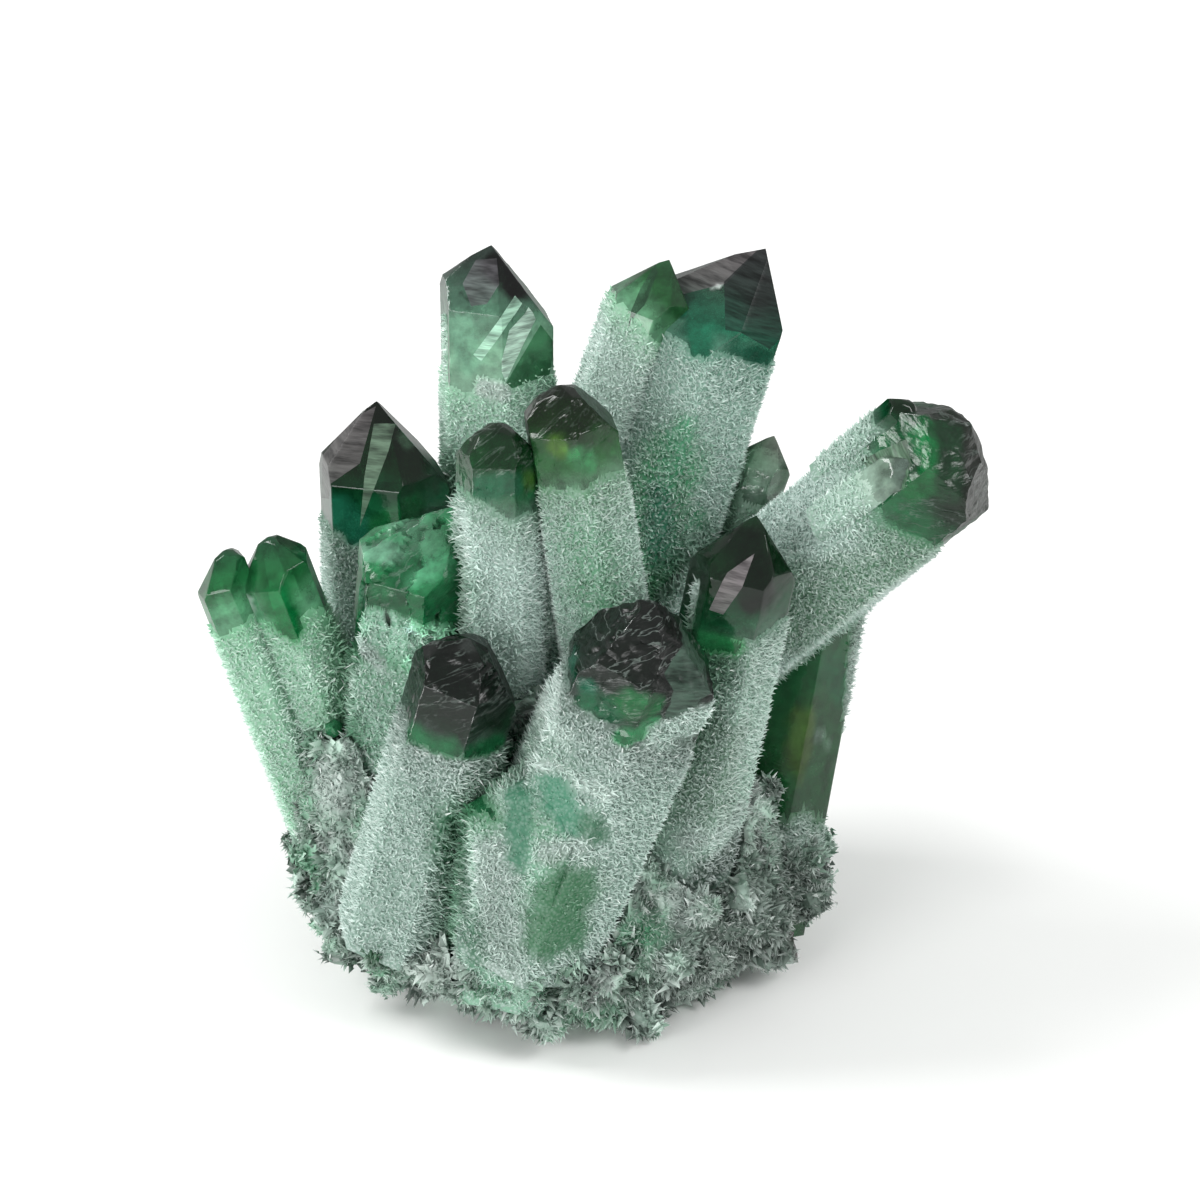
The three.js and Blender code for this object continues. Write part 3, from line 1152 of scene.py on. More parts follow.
    def carve(self, bm: bmesh.types.BMesh) -> None:
        """Etch the point: hollows with wavy ridges between them, all inwards from the flat faces.

        Args:
            bm: The crystal in its own frame.
        """
        bm.normal_update()
        for vert in bm.verts:
            if vert.co.z < -self.frost - 3:
                continue
            warp = noise.noise_vector(vert.co / 3.5) * 1.2
            squeezed = Vector((vert.co.x, vert.co.y, vert.co.z * 1.8)) / 2.6
            hollow = abs(noise.noise(squeezed + warp * 0.5))
            waviness = 0.5 + 0.5 * noise.noise(vert.co / 4)
            depth = self.etch * 0.35 * (1 - 2 * hollow) + 0.06 * waviness
            if self.broken:
                depth += self.broken * self.block_at(vert.co)
            vert.co -= vert.normal * max(depth, 0)

    @staticmethod
    def block_at(place: Vector) -> float:
        """Find how far back a block of broken stone is stepped.

        Args:
            place: A place in the own frame.

        Returns:
            From 0 to 1.
        """
        distances, centres = noise.voronoi(Vector((place.x, place.y, place.z * 0.7)) / 3.2)
        crack = 0.15 * (1 - min((distances[1] - distances[0]) / 0.12, 1))
        return min(noise.cell(centres[0] * 7.3) * 0.8 + crack, 1)


@dataclass(frozen=True)
class Coat:
    """The coat of needles on a crystal. Lengths are in millimetres.

    A pair holds the least of a value and how much more chance may add.

    Attributes:
        per_area: Needles on a square millimetre.
        lean: How far a needle leans, as a share of its rise.
        to_tip: How far they all lean towards the crystal's tip.
        height: A needle's height as a share of the coat's.
        gap_height: The most that needles grow longer by between close crystals.
        radius: Of a needle's foot, thicker than it grows so that it shows.
        gap_radius: How much thicker they are between close crystals.
        gap_shade: How much of the painted shade green between crystals they take.
        silver: How white a tip is at the least, and how much more under the coat's edge.
        silver_depth: How far under that edge the tips are at their whitest.
        spots: How much whiter the tips are in a pale spot.
        chance: How much whiter a tip may be by chance.
        flash: How high the chance has to be for a tip with a painted glint.
        tip: The colour of a white tip.
        flashing: The colour of a painted glint.
    """

    per_area: float = 9.0
    lean: Pair = (0.2, 0.9)
    to_tip: float = 0.35
    height: Pair = (0.6, 0.5)
    gap_height: float = 1.3
    radius: Pair = (0.11, 0.07)
    gap_radius: float = 0.4
    gap_shade: float = 0.55
    silver: Pair = (0.3, 0.3)
    silver_depth: float = 5.0
    spots: float = 0.35
    chance: float = 0.2
    flash: float = 0.93
    tip: str = "#e0ece8"
    flashing: str = "#f4f9f7"

    def grow(
        self,
        spikes: Spikes,
        crystal: Crystal,
        feet: np.ndarray,
        outward: np.ndarray,
        cover: np.ndarray,
        crowd: np.ndarray,
        random: np.random.Generator,
    ) -> None:
        """Stand a needle on each foot, as high as the coat, and longer between close crystals.

        Args:
            spikes: What the needles are added to.
            crystal: The crystal that they grow on.
            feet: Where they stand.
            outward: The surface's direction at each.
            cover: How dense the coat is at each; where it is thin they are short and show the stone's colour.
            crowd: How close other crystals stand at each, from 0 to 1.
            random: Where the chance comes from.
        """
        count = len(feet)
        along = np.array((Vector(crystal.top) - Vector(crystal.foot)).normalized())
        first, second = across_pair(outward)
        around = random.random(count)[:, None] * math.tau
        lean = (self.lean[0] + self.lean[1] * random.random(count))[:, None]
        directions = outward + lean * (np.cos(around) * first + np.sin(around) * second) + self.to_tip * along
        directions /= np.linalg.norm(directions, axis=1)[:, None]
        rise = (directions * outward).sum(1)
        lengths = COAT * (self.height[0] + self.height[1] * random.random(count)) / np.clip(rise, 0.5, 1)
        longer = [patch.longer * patch.weight(feet) for patch in crystal.patches if patch.longer]
        fringe = sum(longer, np.zeros(count))
        full = smooth_step(cover, 0.1, 0.6)
        lengths *= (1 + (self.gap_height * crowd + fringe) * random.random(count)) * (0.5 + 0.5 * full)
        radii = (self.radius[0] + self.radius[1] * random.random(count)) * (1 + self.gap_radius * crowd)
        # Feet between close crystals take a deeper green: painted shade
        green = self.gap_shade * crowd[:, None]
        body = crystal.colour_at(feet) * (1 - green) + green * linear(GAP_SHADE_GREEN)
        body = np.clip(body * 1.3, 0, 0.8)
        depth = -crystal.above_coat(crystal.own_places(feet))
        pale = 0.5 + PALE_SPOTS.at(feet)
        glint = random.random(count)
        below_edge = smooth_step(depth, 0, self.silver_depth)
        white = self.silver[0] + self.silver[1] * below_edge + self.spots * pale + self.chance * glint
        # Tips are less white against other crystals: painted shade
        white = np.clip(white * (1 - 0.75 * crowd) * (0.3 + 0.7 * full), 0, 1)[:, None]
        tips = body * (1 - white) + linear(self.tip) * white
        # A few tips get a painted glint
        tips = np.where((glint * full)[:, None] > self.flash, linear(self.flashing), tips)
        spikes.grow(feet, directions, lengths, radii, body * 0.65 + 0.4 * tips, tips)


@dataclass
class CrystalGroup:
    """Crystals that have grown together, as one piece of stone and one coat of needles.

    Attributes:
        node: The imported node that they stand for.
        crystals: The crystals.
        patches: Spots that run over all of them.
    """

    node: str
    crystals: list[Crystal]
    patches: tuple[Patch, ...] = ()

    def __post_init__(self) -> None:
        """Give each crystal the spots that run over all of them."""
        self.crystals = [
            replace(crystal, patches=crystal.patches + self.patches) for crystal in self.crystals
        ]

    @staticmethod
    def crowding(places: np.ndarray, others: list[Crystal]) -> np.ndarray:
        """Measure how close other crystals stand.

        Args:
            places: Points in millimetres.
            others: Every crystal outside the group.

        Returns:
            From 0 in the open to 1 against another crystal, for each place.
        """
        gap = np.min([one.reach(places, one.width / 2) for one in others], axis=0)
        return 1 - smooth_step(gap, 0.3, CROWDED)

    def stone(self, finishes: list[bpy.types.Material], others: list[Crystal]) -> bpy.types.Object:
        """Make the clean crystals: clear where bare, frosted under the needles, with painted reflections on
        the facets.

        Args:
            finishes: The clear, the frosted and the reflection-painted finish.
            others: Every other crystal of the cluster.

        Returns:
            The piece.
        """
        mesh = bpy.data.meshes.new(f"{self.node}_stone")
        whole = bmesh.new()
        colours, etched, streaked, finish, owns, covers = [], [], [], [], [], []
        for crystal in self.crystals:
            bm = crystal.body()
            placed = crystal.own_frame()
            own = np.array([vert.co[:] for vert in bm.verts])
            places = own @ np.array(placed.to_3x3()).T + np.array(crystal.top)
            corners = [[loop.vert.index for loop in face.loops] for face in bm.faces]
            flat = np.concatenate(corners)
            middles = places[np.array(corners)].mean(1)
            crowd = self.crowding(places, others)[:, None]
            # The stone takes a deeper green against other crystals: painted shade
            green = GAP_SHADE_SHARE * crowd
            colour = crystal.colour_at(places) * (1 - green) + green * linear(GAP_SHADE_GREEN)
            colour = colour[flat].reshape(-1, 3, 3)
            cover = crystal.cover_at(places)
            kind = np.where(cover[np.array(corners)].mean(1) > BARE, 1, 0)
            # Fewer pale grains against other crystals: painted shade
            covers.append(cover * (1 - SHADED_COVER * crowd[:, 0]))
            share = crystal.above_coat(own) / crystal.frost
            worn = crystal.etch * smooth_step(share, 0.0, ETCHED_ABOVE)
            # Where the painted sheen of the etched lines shows, faint in the patches
            streaks = worn
            for patch in crystal.patches:
                streaks = streaks * (1 - 0.9 * patch.weight(places))
            bm.normal_update()
            normals = np.array([face.normal[:] for face in bm.faces]) @ np.array(placed.to_3x3()).T
            for facet in crystal.facets:
                held = facet.holds(middles, normals)
                kind[held] = 0 if facet.clear else 2
                # Most of the stone's colour gives way to the facet's: a painted reflection, or the stone's
                # own green on a clear facet
                colour[held] = (1 - FACET_COLOUR_SHARE) * colour[held] + FACET_COLOUR_SHARE * linear(facet.colour)
            crystal.carve(bm)
            colours.append(colour.reshape(-1, 3))
            etched.append(worn[flat])
            streaked.append(streaks[flat])
            finish.append(kind)
            owns.append(own)
            bmesh.ops.transform(bm, matrix=Matrix.Scale(MM, 4) @ placed, verts=bm.verts)
            part = bpy.data.meshes.new("part")
            bm.to_mesh(part)
            bm.free()
            whole.from_mesh(part)
            bpy.data.meshes.remove(part)
        whole.to_mesh(mesh)
        whole.free()
        for material in finishes:
            mesh.materials.append(material)
        mesh.polygons.foreach_set("material_index", np.concatenate(finish).astype(np.int32))
        mesh.shade_smooth()
        mesh.set_sharp_from_angle(angle=math.radians(SHARP_ANGLE))
        set_attribute(mesh, "stone", "FLOAT_COLOR", "CORNER", np.concatenate(colours))
        set_attribute(mesh, "etch", "FLOAT", "CORNER", np.concatenate(etched))
        set_attribute(mesh, "streaks", "FLOAT", "CORNER", np.concatenate(streaked))
        set_attribute(mesh, "own", "FLOAT_VECTOR", "POINT", np.concatenate(owns))
        set_attribute(mesh, "cover", "FLOAT", "POINT", np.concatenate(covers))
        return place_piece(f"{self.node}_stone", mesh, "quartz", self.node)

    def needles(
        self,
        stone: bpy.types.Mesh,
        material: bpy.types.Material,
        others: list[Crystal],
        crust: BVHTree,
        coat: Coat,
        random: np.random.Generator,
    ) -> bpy.types.Object:
        """Grow the coat of needles over the sides.

        Args:
            stone: The mesh of the clean crystals.
            material: The needles' finish.
            others: Every other crystal of the cluster.
            crust: The surface of the crust, in millimetres.
            coat: How the needles stand.
            random: Where the chance comes from.

        Returns:
            The piece.
        """
        triangles, _ = triangles_of(stone)
        places, normals = scatter(triangles, coat.per_area, random)
        spikes = Spikes()
        reaches = np.stack([one.reach(places, one.width / 2 - COAT) for one in self.crystals], 1)
        owner = np.abs(reaches).argmin(1)
        for number, crystal in enumerate(self.crystals):
            mine = owner == number
            own = crystal.own_places(places[mine])
            cover = crystal.cover_at(places[mine])
            keep = (random.random(len(own)) < cover) & (cover > BARE)
            keep &= own[:, 2] > -crystal.length() + 1
            feet, outward, cover = places[mine][keep], normals[mine][keep], cover[keep]
            open_air = np.ones(len(feet), bool)
            for other in [*others, *self.crystals]:
                if other is not crystal:
                    open_air &= other.reach(feet, other.width / 2 - COAT) > 0.1
            open_air &= self.clear_of_crust(feet, outward, crust)
            feet, outward, cover = feet[open_air], outward[open_air], cover[open_air]
            coat.grow(spikes, crystal, feet, outward, cover, self.crowding(feet, others), random)
        mesh = spikes.mesh(f"{self.node}_needles", material, random)
        return place_piece(f"{self.node}_needles", mesh, "quartz")

    @staticmethod
    def clear_of_crust(feet: np.ndarray, outward: np.ndarray, crust: BVHTree) -> np.ndarray:
        """Find which feet aren't down in a socket of the crust. Places are in millimetres."""
        near = COAT + GAP + 0.4
        return np.array(
            [crust.ray_cast(Vector(f), Vector(d), near)[0] is None for f, d in zip(feet, outward)], bool
        )


GROUPS = [
    CrystalGroup("front_left_crystal", [Crystal(
        (-14, -25, 58.5), (-26.5, -21, 13), 13.8, 14.5, Depth.BLACK, (-1, 0), 2.2, turn=12, etch=0.5,
        patches=(
            Patch((-23.0, -28.6, 45.6), 1.5, "#1f6a40", 0.0, (-18.0, -30.1, 44.3)),
            Patch((-18.0, -30.1, 44.3), 1.5, "#1f6a40", 0.0, (-12.4, -27.1, 43.3)),
            Patch((-15.6, -25.8, 56.1), 1.1, "#3a403d", 0.0),
            Patch((-18.8, -29.0, 33.0), 2.6, "#2c6347", 0.5, (-16.4, -31.0, 18.0)),
        ),
    )]),
    CrystalGroup(
        "front_right_crystal",
        [
            Crystal(
                (8.5, -26, 62), (-10, -25, 14), 18.8, 14, Depth.BLACK, (-1.8, 0.5), 1,
                (52, 50, 46, 31, 47, 50), 4, (-0.1, 0.1), etch=1.0,
                patches=(
                    Patch((-3.4, -25.4, 54.6), 1.3, TEAL, 0.0, (-1.4, -32.3, 53.4)),
                    Patch((-1.4, -32.7, 51.9), 1.7, "#12603c", 0.0, (1.3, -34.0, 51.5)),
                    Patch((3.0, -34.5, 52.6), 1.9, "#0f6a36", 0.0, (6.0, -34.8, 52.4)),
                    Patch((2.4, -35.3, 48.2), 1.3, "#2f8a55", 0.0, (6.2, -34.5, 49.6)),
                    Patch((-6.7, -23.1, 48.7), 3.0, "#b3c3bb", 1.0, (-5.0, -30.0, 46.0), 0.5),
                    Patch((7.6, -34.0, 47.6), 2.4, "#86a093", 0.9, (12.3, -29.5, 48.3)),
                ),
                facets=(
                    Facet.bounded(
                        "#3c4e44", (9.5, -22.6, 57.5), (12.7, -23.1, 52.8), (11.7, -31.3, 50.6),
                        (7.6, -33.4, 49.4), (7.5, -32.9, 55.8),
                    ),
                ),
            ),
            Crystal(
                (-7, -30.5, 43), (-11, -22, 9), 17.5, 6, Depth.EMERALD, blunt=2.4, turn=20, slope=(0.3, 0),
            ),
        ],
        (
            Patch((-9.6, -31.3, 42.5), 6.5, "#7d9d8c", 0.9),
            Patch((-13.2, -35.2, 32.0), 3.6, "#82988d", 1.0, (-12.2, -33.9, 16.0), 0.4),
            Patch((-10.5, -30.6, 43.8), 1.0, "#b3c3bb", 1.0, (1.2, -35.4, 40.8), 1.3),
            Patch((-9.8, -31.3, 41.5), 1.8, "#2c6f52", 0.18, (-9.8, -34.8, 31.5)),
            Patch((-5.8, -33.2, 40.2), 2.6, "#2f7a5c", 0.18, (-3.6, -34.7, 36.8)),
            Patch((-1.4, -35.6, 36.6), 2.2, "#1f6040", 0.15, (0.2, -35.3, 34.6)),
            Patch((-6.6, -36.1, 33.2), 1.7, "#93a69c", 1.0, (-2.5, -35.6, 33.4), 0.7),
            Patch((-3.9, -35.4, 27.0), 5.2, "#1b6238", 0.16, (-4.6, -35.0, 20.5)),
            Patch((0.6, -33.5, 21.0), 1.6, "#13522f", 0.0),
            Patch((-17.6, -29.5, 32.0), 2.6, "#2c6347", 0.5, (-15.4, -31.0, 17.0)),
        ),
    ),
    CrystalGroup("right_front_crystal", [Crystal(
        (19, -14, 68), (9.5, -16.5, 17), 12.8, 15, Depth.FOREST, turn=20, slope=(0.5, 0), etch=0.1,
        patches=(
            Patch((19.3, -20.5, 59.6), 2.6, "#061a0c", 0.0, (17.5, -16.6, 65.1)),
            Patch((12.4, -19.4, 53.6), 1.5, "#2f8a50", 0.1, (16.4, -21.2, 53.2)),
            Patch((11.6, -16.3, 59.5), 0.8, "#8fa59a", 0.9, (11.4, -17.0, 54.0), 0.3),
            Patch((11.0, -22.0, 27.0), 1.8, "#93a69c", 1.0, (17.2, -18.5, 29.5), 0.9),
            # Dark over the hollow at the foot: painted shade
            Patch((13.0, -21.5, 22.0), 3.0, "#1c3a2a", 0.5, (18.0, -17.0, 24.0)),
            Patch((14.0, -21.0, 41.0), 4.5, "#557a63", 0.85, (13.0, -21.0, 33.0)),
        ),
        facets=(
            Facet.bounded(
                "#5f5a5c", (18.7, -17.3, 64.3), (15.4, -18.7, 62.4), (13.2, -19.6, 57.8),
                (14.9, -19.9, 57.3), (17.2, -19.8, 60.9),
            ),
        ),
    )]),
    CrystalGroup("centre_pair", [
        Crystal(
            (-4.6, -8, 84.3), (3, -9, 32), 12.4, 13, Depth.OLIVE, (-0.6, 0), 1.6, turn=8, etch=0.25,
            patches=(
                Patch((-5.2, -13.2, 76.6), 1.5, "#4f7a2c", 0.0),
                Patch((-2.4, -14.5, 75.4), 1.5, "#3f9058", 0.0, (-0.6, -14.2, 74.6)),
                Patch((-1.2, -15.2, 62.4), 5.0, "#649c7a", 0.7, (0.0, -15.5, 57.0)),
            ),
        ),
        Crystal(
            (-12.4, -10, 80), (-12.2, -11, 30), 10.8, 11.5, Depth.SPARKLE, blunt=1.4, turn=24,
            slope=(-0.3, 0), etch=0.5,
            patches=(
                Patch((-13.9, -14.6, 71.8), 1.6, "#1f6a48", 0.0, (-10.5, -14.6, 72.2)),
                Patch((-8.5, -12.6, 71.9), 1.4, "#4a7a34", 0.0),
                Patch((-17.0, -12.0, 66.0), 2.4, "#b3c3bc", 1.0, (-17.0, -12.0, 52.0), 0.6),
            ),
        ),
    ]),
    CrystalGroup("broken_stub", [Crystal(
        (-22, -9, 66.5), (-26.5, -7, 20), 14.8, 19, Depth.EMERALD, (4.5, 2), tilts=(42, 60, 58, 60, 50, 36),
        turn=10, slope=(0.2, -0.2), etch=0.6, broken=0.8,
        patches=(
            Patch((-27.5, -14.0, 52.0), 3.0, "#7fb497", 0.6, (-20.5, -14.5, 50.5)),
            Patch((-26.3, -14.2, 58.0), 1.6, "#1f6f42", 0.0, (-27.6, -12.8, 59.3)),
            Patch((-22.0, -14.1, 59.3), 1.8, "#4f9a70", 0.0, (-19.6, -12.4, 61.2)),
            Patch((-29.7, -10.6, 55.0), 1.8, "#3f8560", 0.1),
            Patch((-26.4, -11.4, 60.7), 0.6, "#123a24", 0.0, (-26.2, -14.2, 53.2)),
            Patch((-23.2, -15.3, 57.1), 1.6, "#1b663c", 0.0, (-19.0, -14.1, 57.9)),
            Patch((-30.0, -12.0, 50.0), 1.1, "#8fa59a", 0.6, (-27.0, -15.0, 46.0), 0.5),
            Patch((-20.9, -10.1, 62.9), 2.2, "#568f6e", 0.0, (-24.8, -6.5, 63.7)),
            Patch((-29.5, -9.0, 60.5), 1.6, "#64987b", 0.0, (-24.5, -12.0, 62.5)),
        ),
    )]),
    CrystalGroup("tall_right_crystal", [
        Crystal(
            (17.8, 18, 92), (-5, 7, 22), 18.6, 13, Depth.SMOKE, (3.4, 0), tilts=(30, 38, 45, 50, 38, 34),
            turn=0, slope=(0.05, 0),
            patches=(
                Patch((12.6, 9.4, 83.0), 2.0, TEAL, 0.0, (12.5, 7.4, 81.6)),
                Patch((9.2, 10.6, 83.8), 1.5, "#5d8f78", 0.1),
                Patch((15.7, 8.7, 81.3), 1.4, "#1d5a44", 0.0, (20.8, 9.9, 79.0)),
                # A thin pale line along the mauve facet's edge: painted highlight
                Patch((10.2, 13.0, 86.9), 0.4, "#d3dbd7", 0.0, (15.0, 14.3, 87.2)),
                Patch((9.0, 4.0, 66.0), 5.5, "#4a9a6c", 0.65, (3.0, 3.0, 50.0)),
                Patch((10.1, 4.6, 71.4), 2.2, "#4a9a70", 0.5, (8.9, 4.0, 66.4)),
                Patch((7.0, 3.3, 62.4), 2.4, "#2a7a5a", 0.45, (8.3, 2.8, 54.3)),
                Patch((12.7, 5.2, 58.8), 1.8, "#2a8a5a", 0.5),
            ),
            facets=(
                Facet.bounded(
                    MAUVE, (9.0, 13.0, 86.8), (15.9, 14.6, 87.3), (20.8, 18.2, 91.4), (20.0, 22.0, 95.0),
                    (9.0, 17.5, 91.5),
                ),
                Facet.bounded(
                    SLATE, (15.7, 14.7, 87.6), (20.9, 17.5, 92.0), (24.4, 11.5, 82.8), (21.5, 9.9, 80.4),
                    (15.7, 8.7, 83.3),
                ),
            ),
        ),
        Crystal(
            (8.2, 15.5, 90.5), (-9.5, 8.5, 38), 11.4, 9, Depth.FERN, (0.6, 0), turn=10, slope=(-0.5, 0),
            facets=(
                Facet.bounded(
                    "#2a4a36", (5.0, 12.3, 87.3), (6.9, 14.8, 90.2), (7.2, 13.8, 89.4), (5.6, 10.6, 85.9),
                    (3.3, 9.0, 83.8), clear=True,
                ),
            ),
        ),
    ]),
    CrystalGroup("left_point", [Crystal(
        (-28, 12, 72.5), (-27.5, 10.5, 10), 16.6, 16, Depth.NIGHT, (-0.5, 0), turn=14,
        patches=(
            Patch((-33.8, 5.7, 60.0), 2.4, TEAL, 0.0, (-31.0, 4.4, 57.5)),
            Patch((-24.8, 9.1, 68.2), 1.2, "#3d5a45", 0.0),
            Patch((-27.3, 3.8, 58.0), 2.4, "#1c6a3c", 0.0, (-24.1, 4.5, 60.0)),
        ),
        facets=(
            Facet.bounded(
                MOSS, (-28.8, 10.0, 70.1), (-26.0, 10.2, 70.0), (-26.9, 7.2, 67.4), (-30.6, 4.7, 58.1),
                (-29.9, 5.7, 64.6),
            ),
            Facet.bounded(
                MAUVE, (-28.6, 11.5, 71.9), (-34.5, 11.0, 68.5), (-36.3, 13.3, 58.4), (-34.0, 8.0, 60.5),
                (-30.5, 7.0, 65.9),
            ),
        ),
    )]),
    CrystalGroup("left_twin", [
        Crystal(
            (-42, -6, 62), (-27, -5, 14), 10, 11, Depth.LEAF, (0.6, 0), 0.7, turn=6, cover=0.8,
            patches=(
                Patch((-40.2, -10.5, 54.9), 2.4, JADE, 0.0, (-38.5, -11.4, 50.5)),
                Patch((-43.8, -9.0, 54.2), 0.8, "#b5d8c4", 0.1, (-43.1, -10.9, 44.1)),
            ),
        ),
        Crystal((-48.3, -7, 60.5), (-34, -6, 14), 8.2, 10, Depth.LEAF, (1.6, 0), 0.8, turn=22, cover=0.8),
        Crystal((-33.5, -13, 38.5), (-33, -6, 34), 3.6, 4, Depth.EMERALD),
    ]),
    CrystalGroup("tall_left_crystal", [Crystal(
        (-13.5, 22, 90), (-13.5, 18.5, 14), 15.2, 17, Depth.MIST, (-0.4, 0), tilts=(36, 40, 48, 52, 44, 40),
        turn=10, slope=(0.1, 0), etch=0.15,
        patches=(
            Patch((-13.2, 19.5, 88.0), 2.2, COAL, 0.0, (-10.8, 18.3, 85.6)),
            Patch((-17.8, 15.7, 80.8), 2.4, "#7fb998", 0.0, (-17.0, 15.0, 77.5)),
            Patch((-17.5, 18.0, 84.4), 0.6, COAL, 0.0, (-14.3, 15.6, 83.2)),
            Patch((-20.8, 19.5, 79.5), 1.8, "#9fb8aa", 0.9, (-20.8, 19.5, 73.0)),
            Patch((-14.8, 13.9, 73.4), 1.5, "#a9bbb1", 0.6, (-12.6, 13.6, 73.0)),
        ),
        facets=(
            Facet.bounded(
                "#444346", (-17.6, 18.6, 86.0), (-15.9, 20.8, 88.4), (-13.2, 20.3, 88.7),
                (-12.8, 17.5, 86.2), (-14.4, 15.7, 84.2), (-16.4, 16.0, 83.8),
            ),
            Facet.bounded(
                "#8fb39f", (-10.8, 17.5, 84.7), (-16.2, 14.9, 77.6), (-15.2, 14.6, 76.8),
                (-9.9, 17.3, 83.7),
            ),
            Facet.bounded(
                "#a3b9ad", (-9.2, 17.4, 83.2), (-8.2, 17.3, 81.5), (-12.0, 13.7, 74.4), (-13.0, 13.6, 76.4),
                (-11.6, 14.7, 81.0),
            ),
            Facet.bounded(
                "#0f6a36", (-7.6, 17.8, 80.6), (-5.6, 19.0, 77.5), (-6.2, 18.0, 73.6), (-11.1, 14.2, 73.2),
                (-12.0, 13.8, 74.2), clear=True,
            ),
        ),
    )]),
    CrystalGroup("leaning_crystal", [
        Crystal(
            (48.3, -4, 76.5), (8, 4.5, 36), 18, 15, Depth.BARK, (-1.5, 0), 2.2, (46, 44, 40, 56, 50, 44),
            26, (-0.2, 0.3), etch=0.6,
            patches=(
                Patch((40.1, -10.7, 74.4), 2.4, JADE, 0.0, (39.6, -8.1, 76.6)),
                Patch((41.3, -11.5, 71.5), 1.8, "#15703a", 0.0, (38.4, -11.1, 70.0)),
                Patch((42.4, -7.0, 75.6), 2.4, "#123f22", 0.0, (42.6, -11.4, 70.1)),
                Patch((22.0, -7.5, 50.5), 5.5, "#4c7a5c", 0.8, (37.0, -7.5, 58.5)),
            ),
            facets=(
                Facet.bounded(
                    MOSS, (31.8, -4.9, 71.7), (37.3, -7.0, 75.0), (37.9, -9.6, 72.9), (37.0, -11.1, 70.2),
                    (34.6, -10.4, 69.1),
                ),
            ),
        ),
        Crystal((39.2, -3, 78.6), (28, 0, 66.5), 6, 5, Depth.FOREST, blunt=0.8, turn=8),
        Crystal(
            (40, -8.5, 73), (28, -5, 62), 8, 8, Depth.PALE, turn=20,
            patches=(Patch((38.5, -9.0, 71.8), 3.6, "#6a7d73", 0.0),),
        ),
    ]),
    CrystalGroup("small_back_crystal", [Crystal(
        (22.5, 15, 66.5), (8.5, 10, 26), 7.8, 8, Depth.PALE, turn=16, cover=0.5,
        patches=(Patch((25.3, 12.4, 62.8), 1.8, "#1c4a2c", 0.0, (24.2, 11.6, 60.2)),),
    )]),
    CrystalGroup("right_slab", [Crystal(
        (28.8, 10, 57.5), (19.5, -3, 4.5), 14.6, 10, Depth.SLAB, blunt=1.2, turn=18, cover=0.0,
        patches=(
            Patch((30.1, -0.4, 40.3), 2.6, "#14603a", 0.0, (32.0, 1.6, 36.4)),
            Patch((26.2, -3.8, 34.8), 2.2, "#4a6a2c", 0.0, (25.7, -5.0, 29.0)),
            Patch((34.2, 4.4, 48.0), 2.0, "#84968c", 0.8, (32.6, 2.2, 22.0)),
            Patch((28.5, -2.4, 31.4), 0.9, "#7f9f8c", 0.0, (30.2, -0.8, 30.0)),
            Patch((25.5, -5.8, 17.0), 5.0, "#5f7d6c", 0.6, (29.5, -2.0, 14.0)),
        ),
    )]),
    CrystalGroup("back_left_crystal", [Crystal(
        (-23.5, 29, 50), (-15, 14, 18), 12.5, 11, Depth.NIGHT, blunt=0.8, turn=20,
    )]),
    CrystalGroup("back_centre_crystal", [Crystal(
        (-3.5, 36.5, 57.5), (-4, 15, 18), 14.5, 13, Depth.FOREST, (1, 0), turn=5,
    )]),
    CrystalGroup("back_right_crystal", [Crystal(
        (20, 32, 45), (8, 15, 16), 11.5, 10, Depth.OLIVE, blunt=1, turn=26,
    )]),
    CrystalGroup("side_right_crystal", [Crystal((29, 25, 37), (16, 13, 12), 8.6, 8, Depth.FERN, turn=12)]),
    CrystalGroup("side_left_crystal", [Crystal((-41, 15, 43), (-24, 8, 13), 9, 8.5, Depth.FOREST, turn=28)]),
]


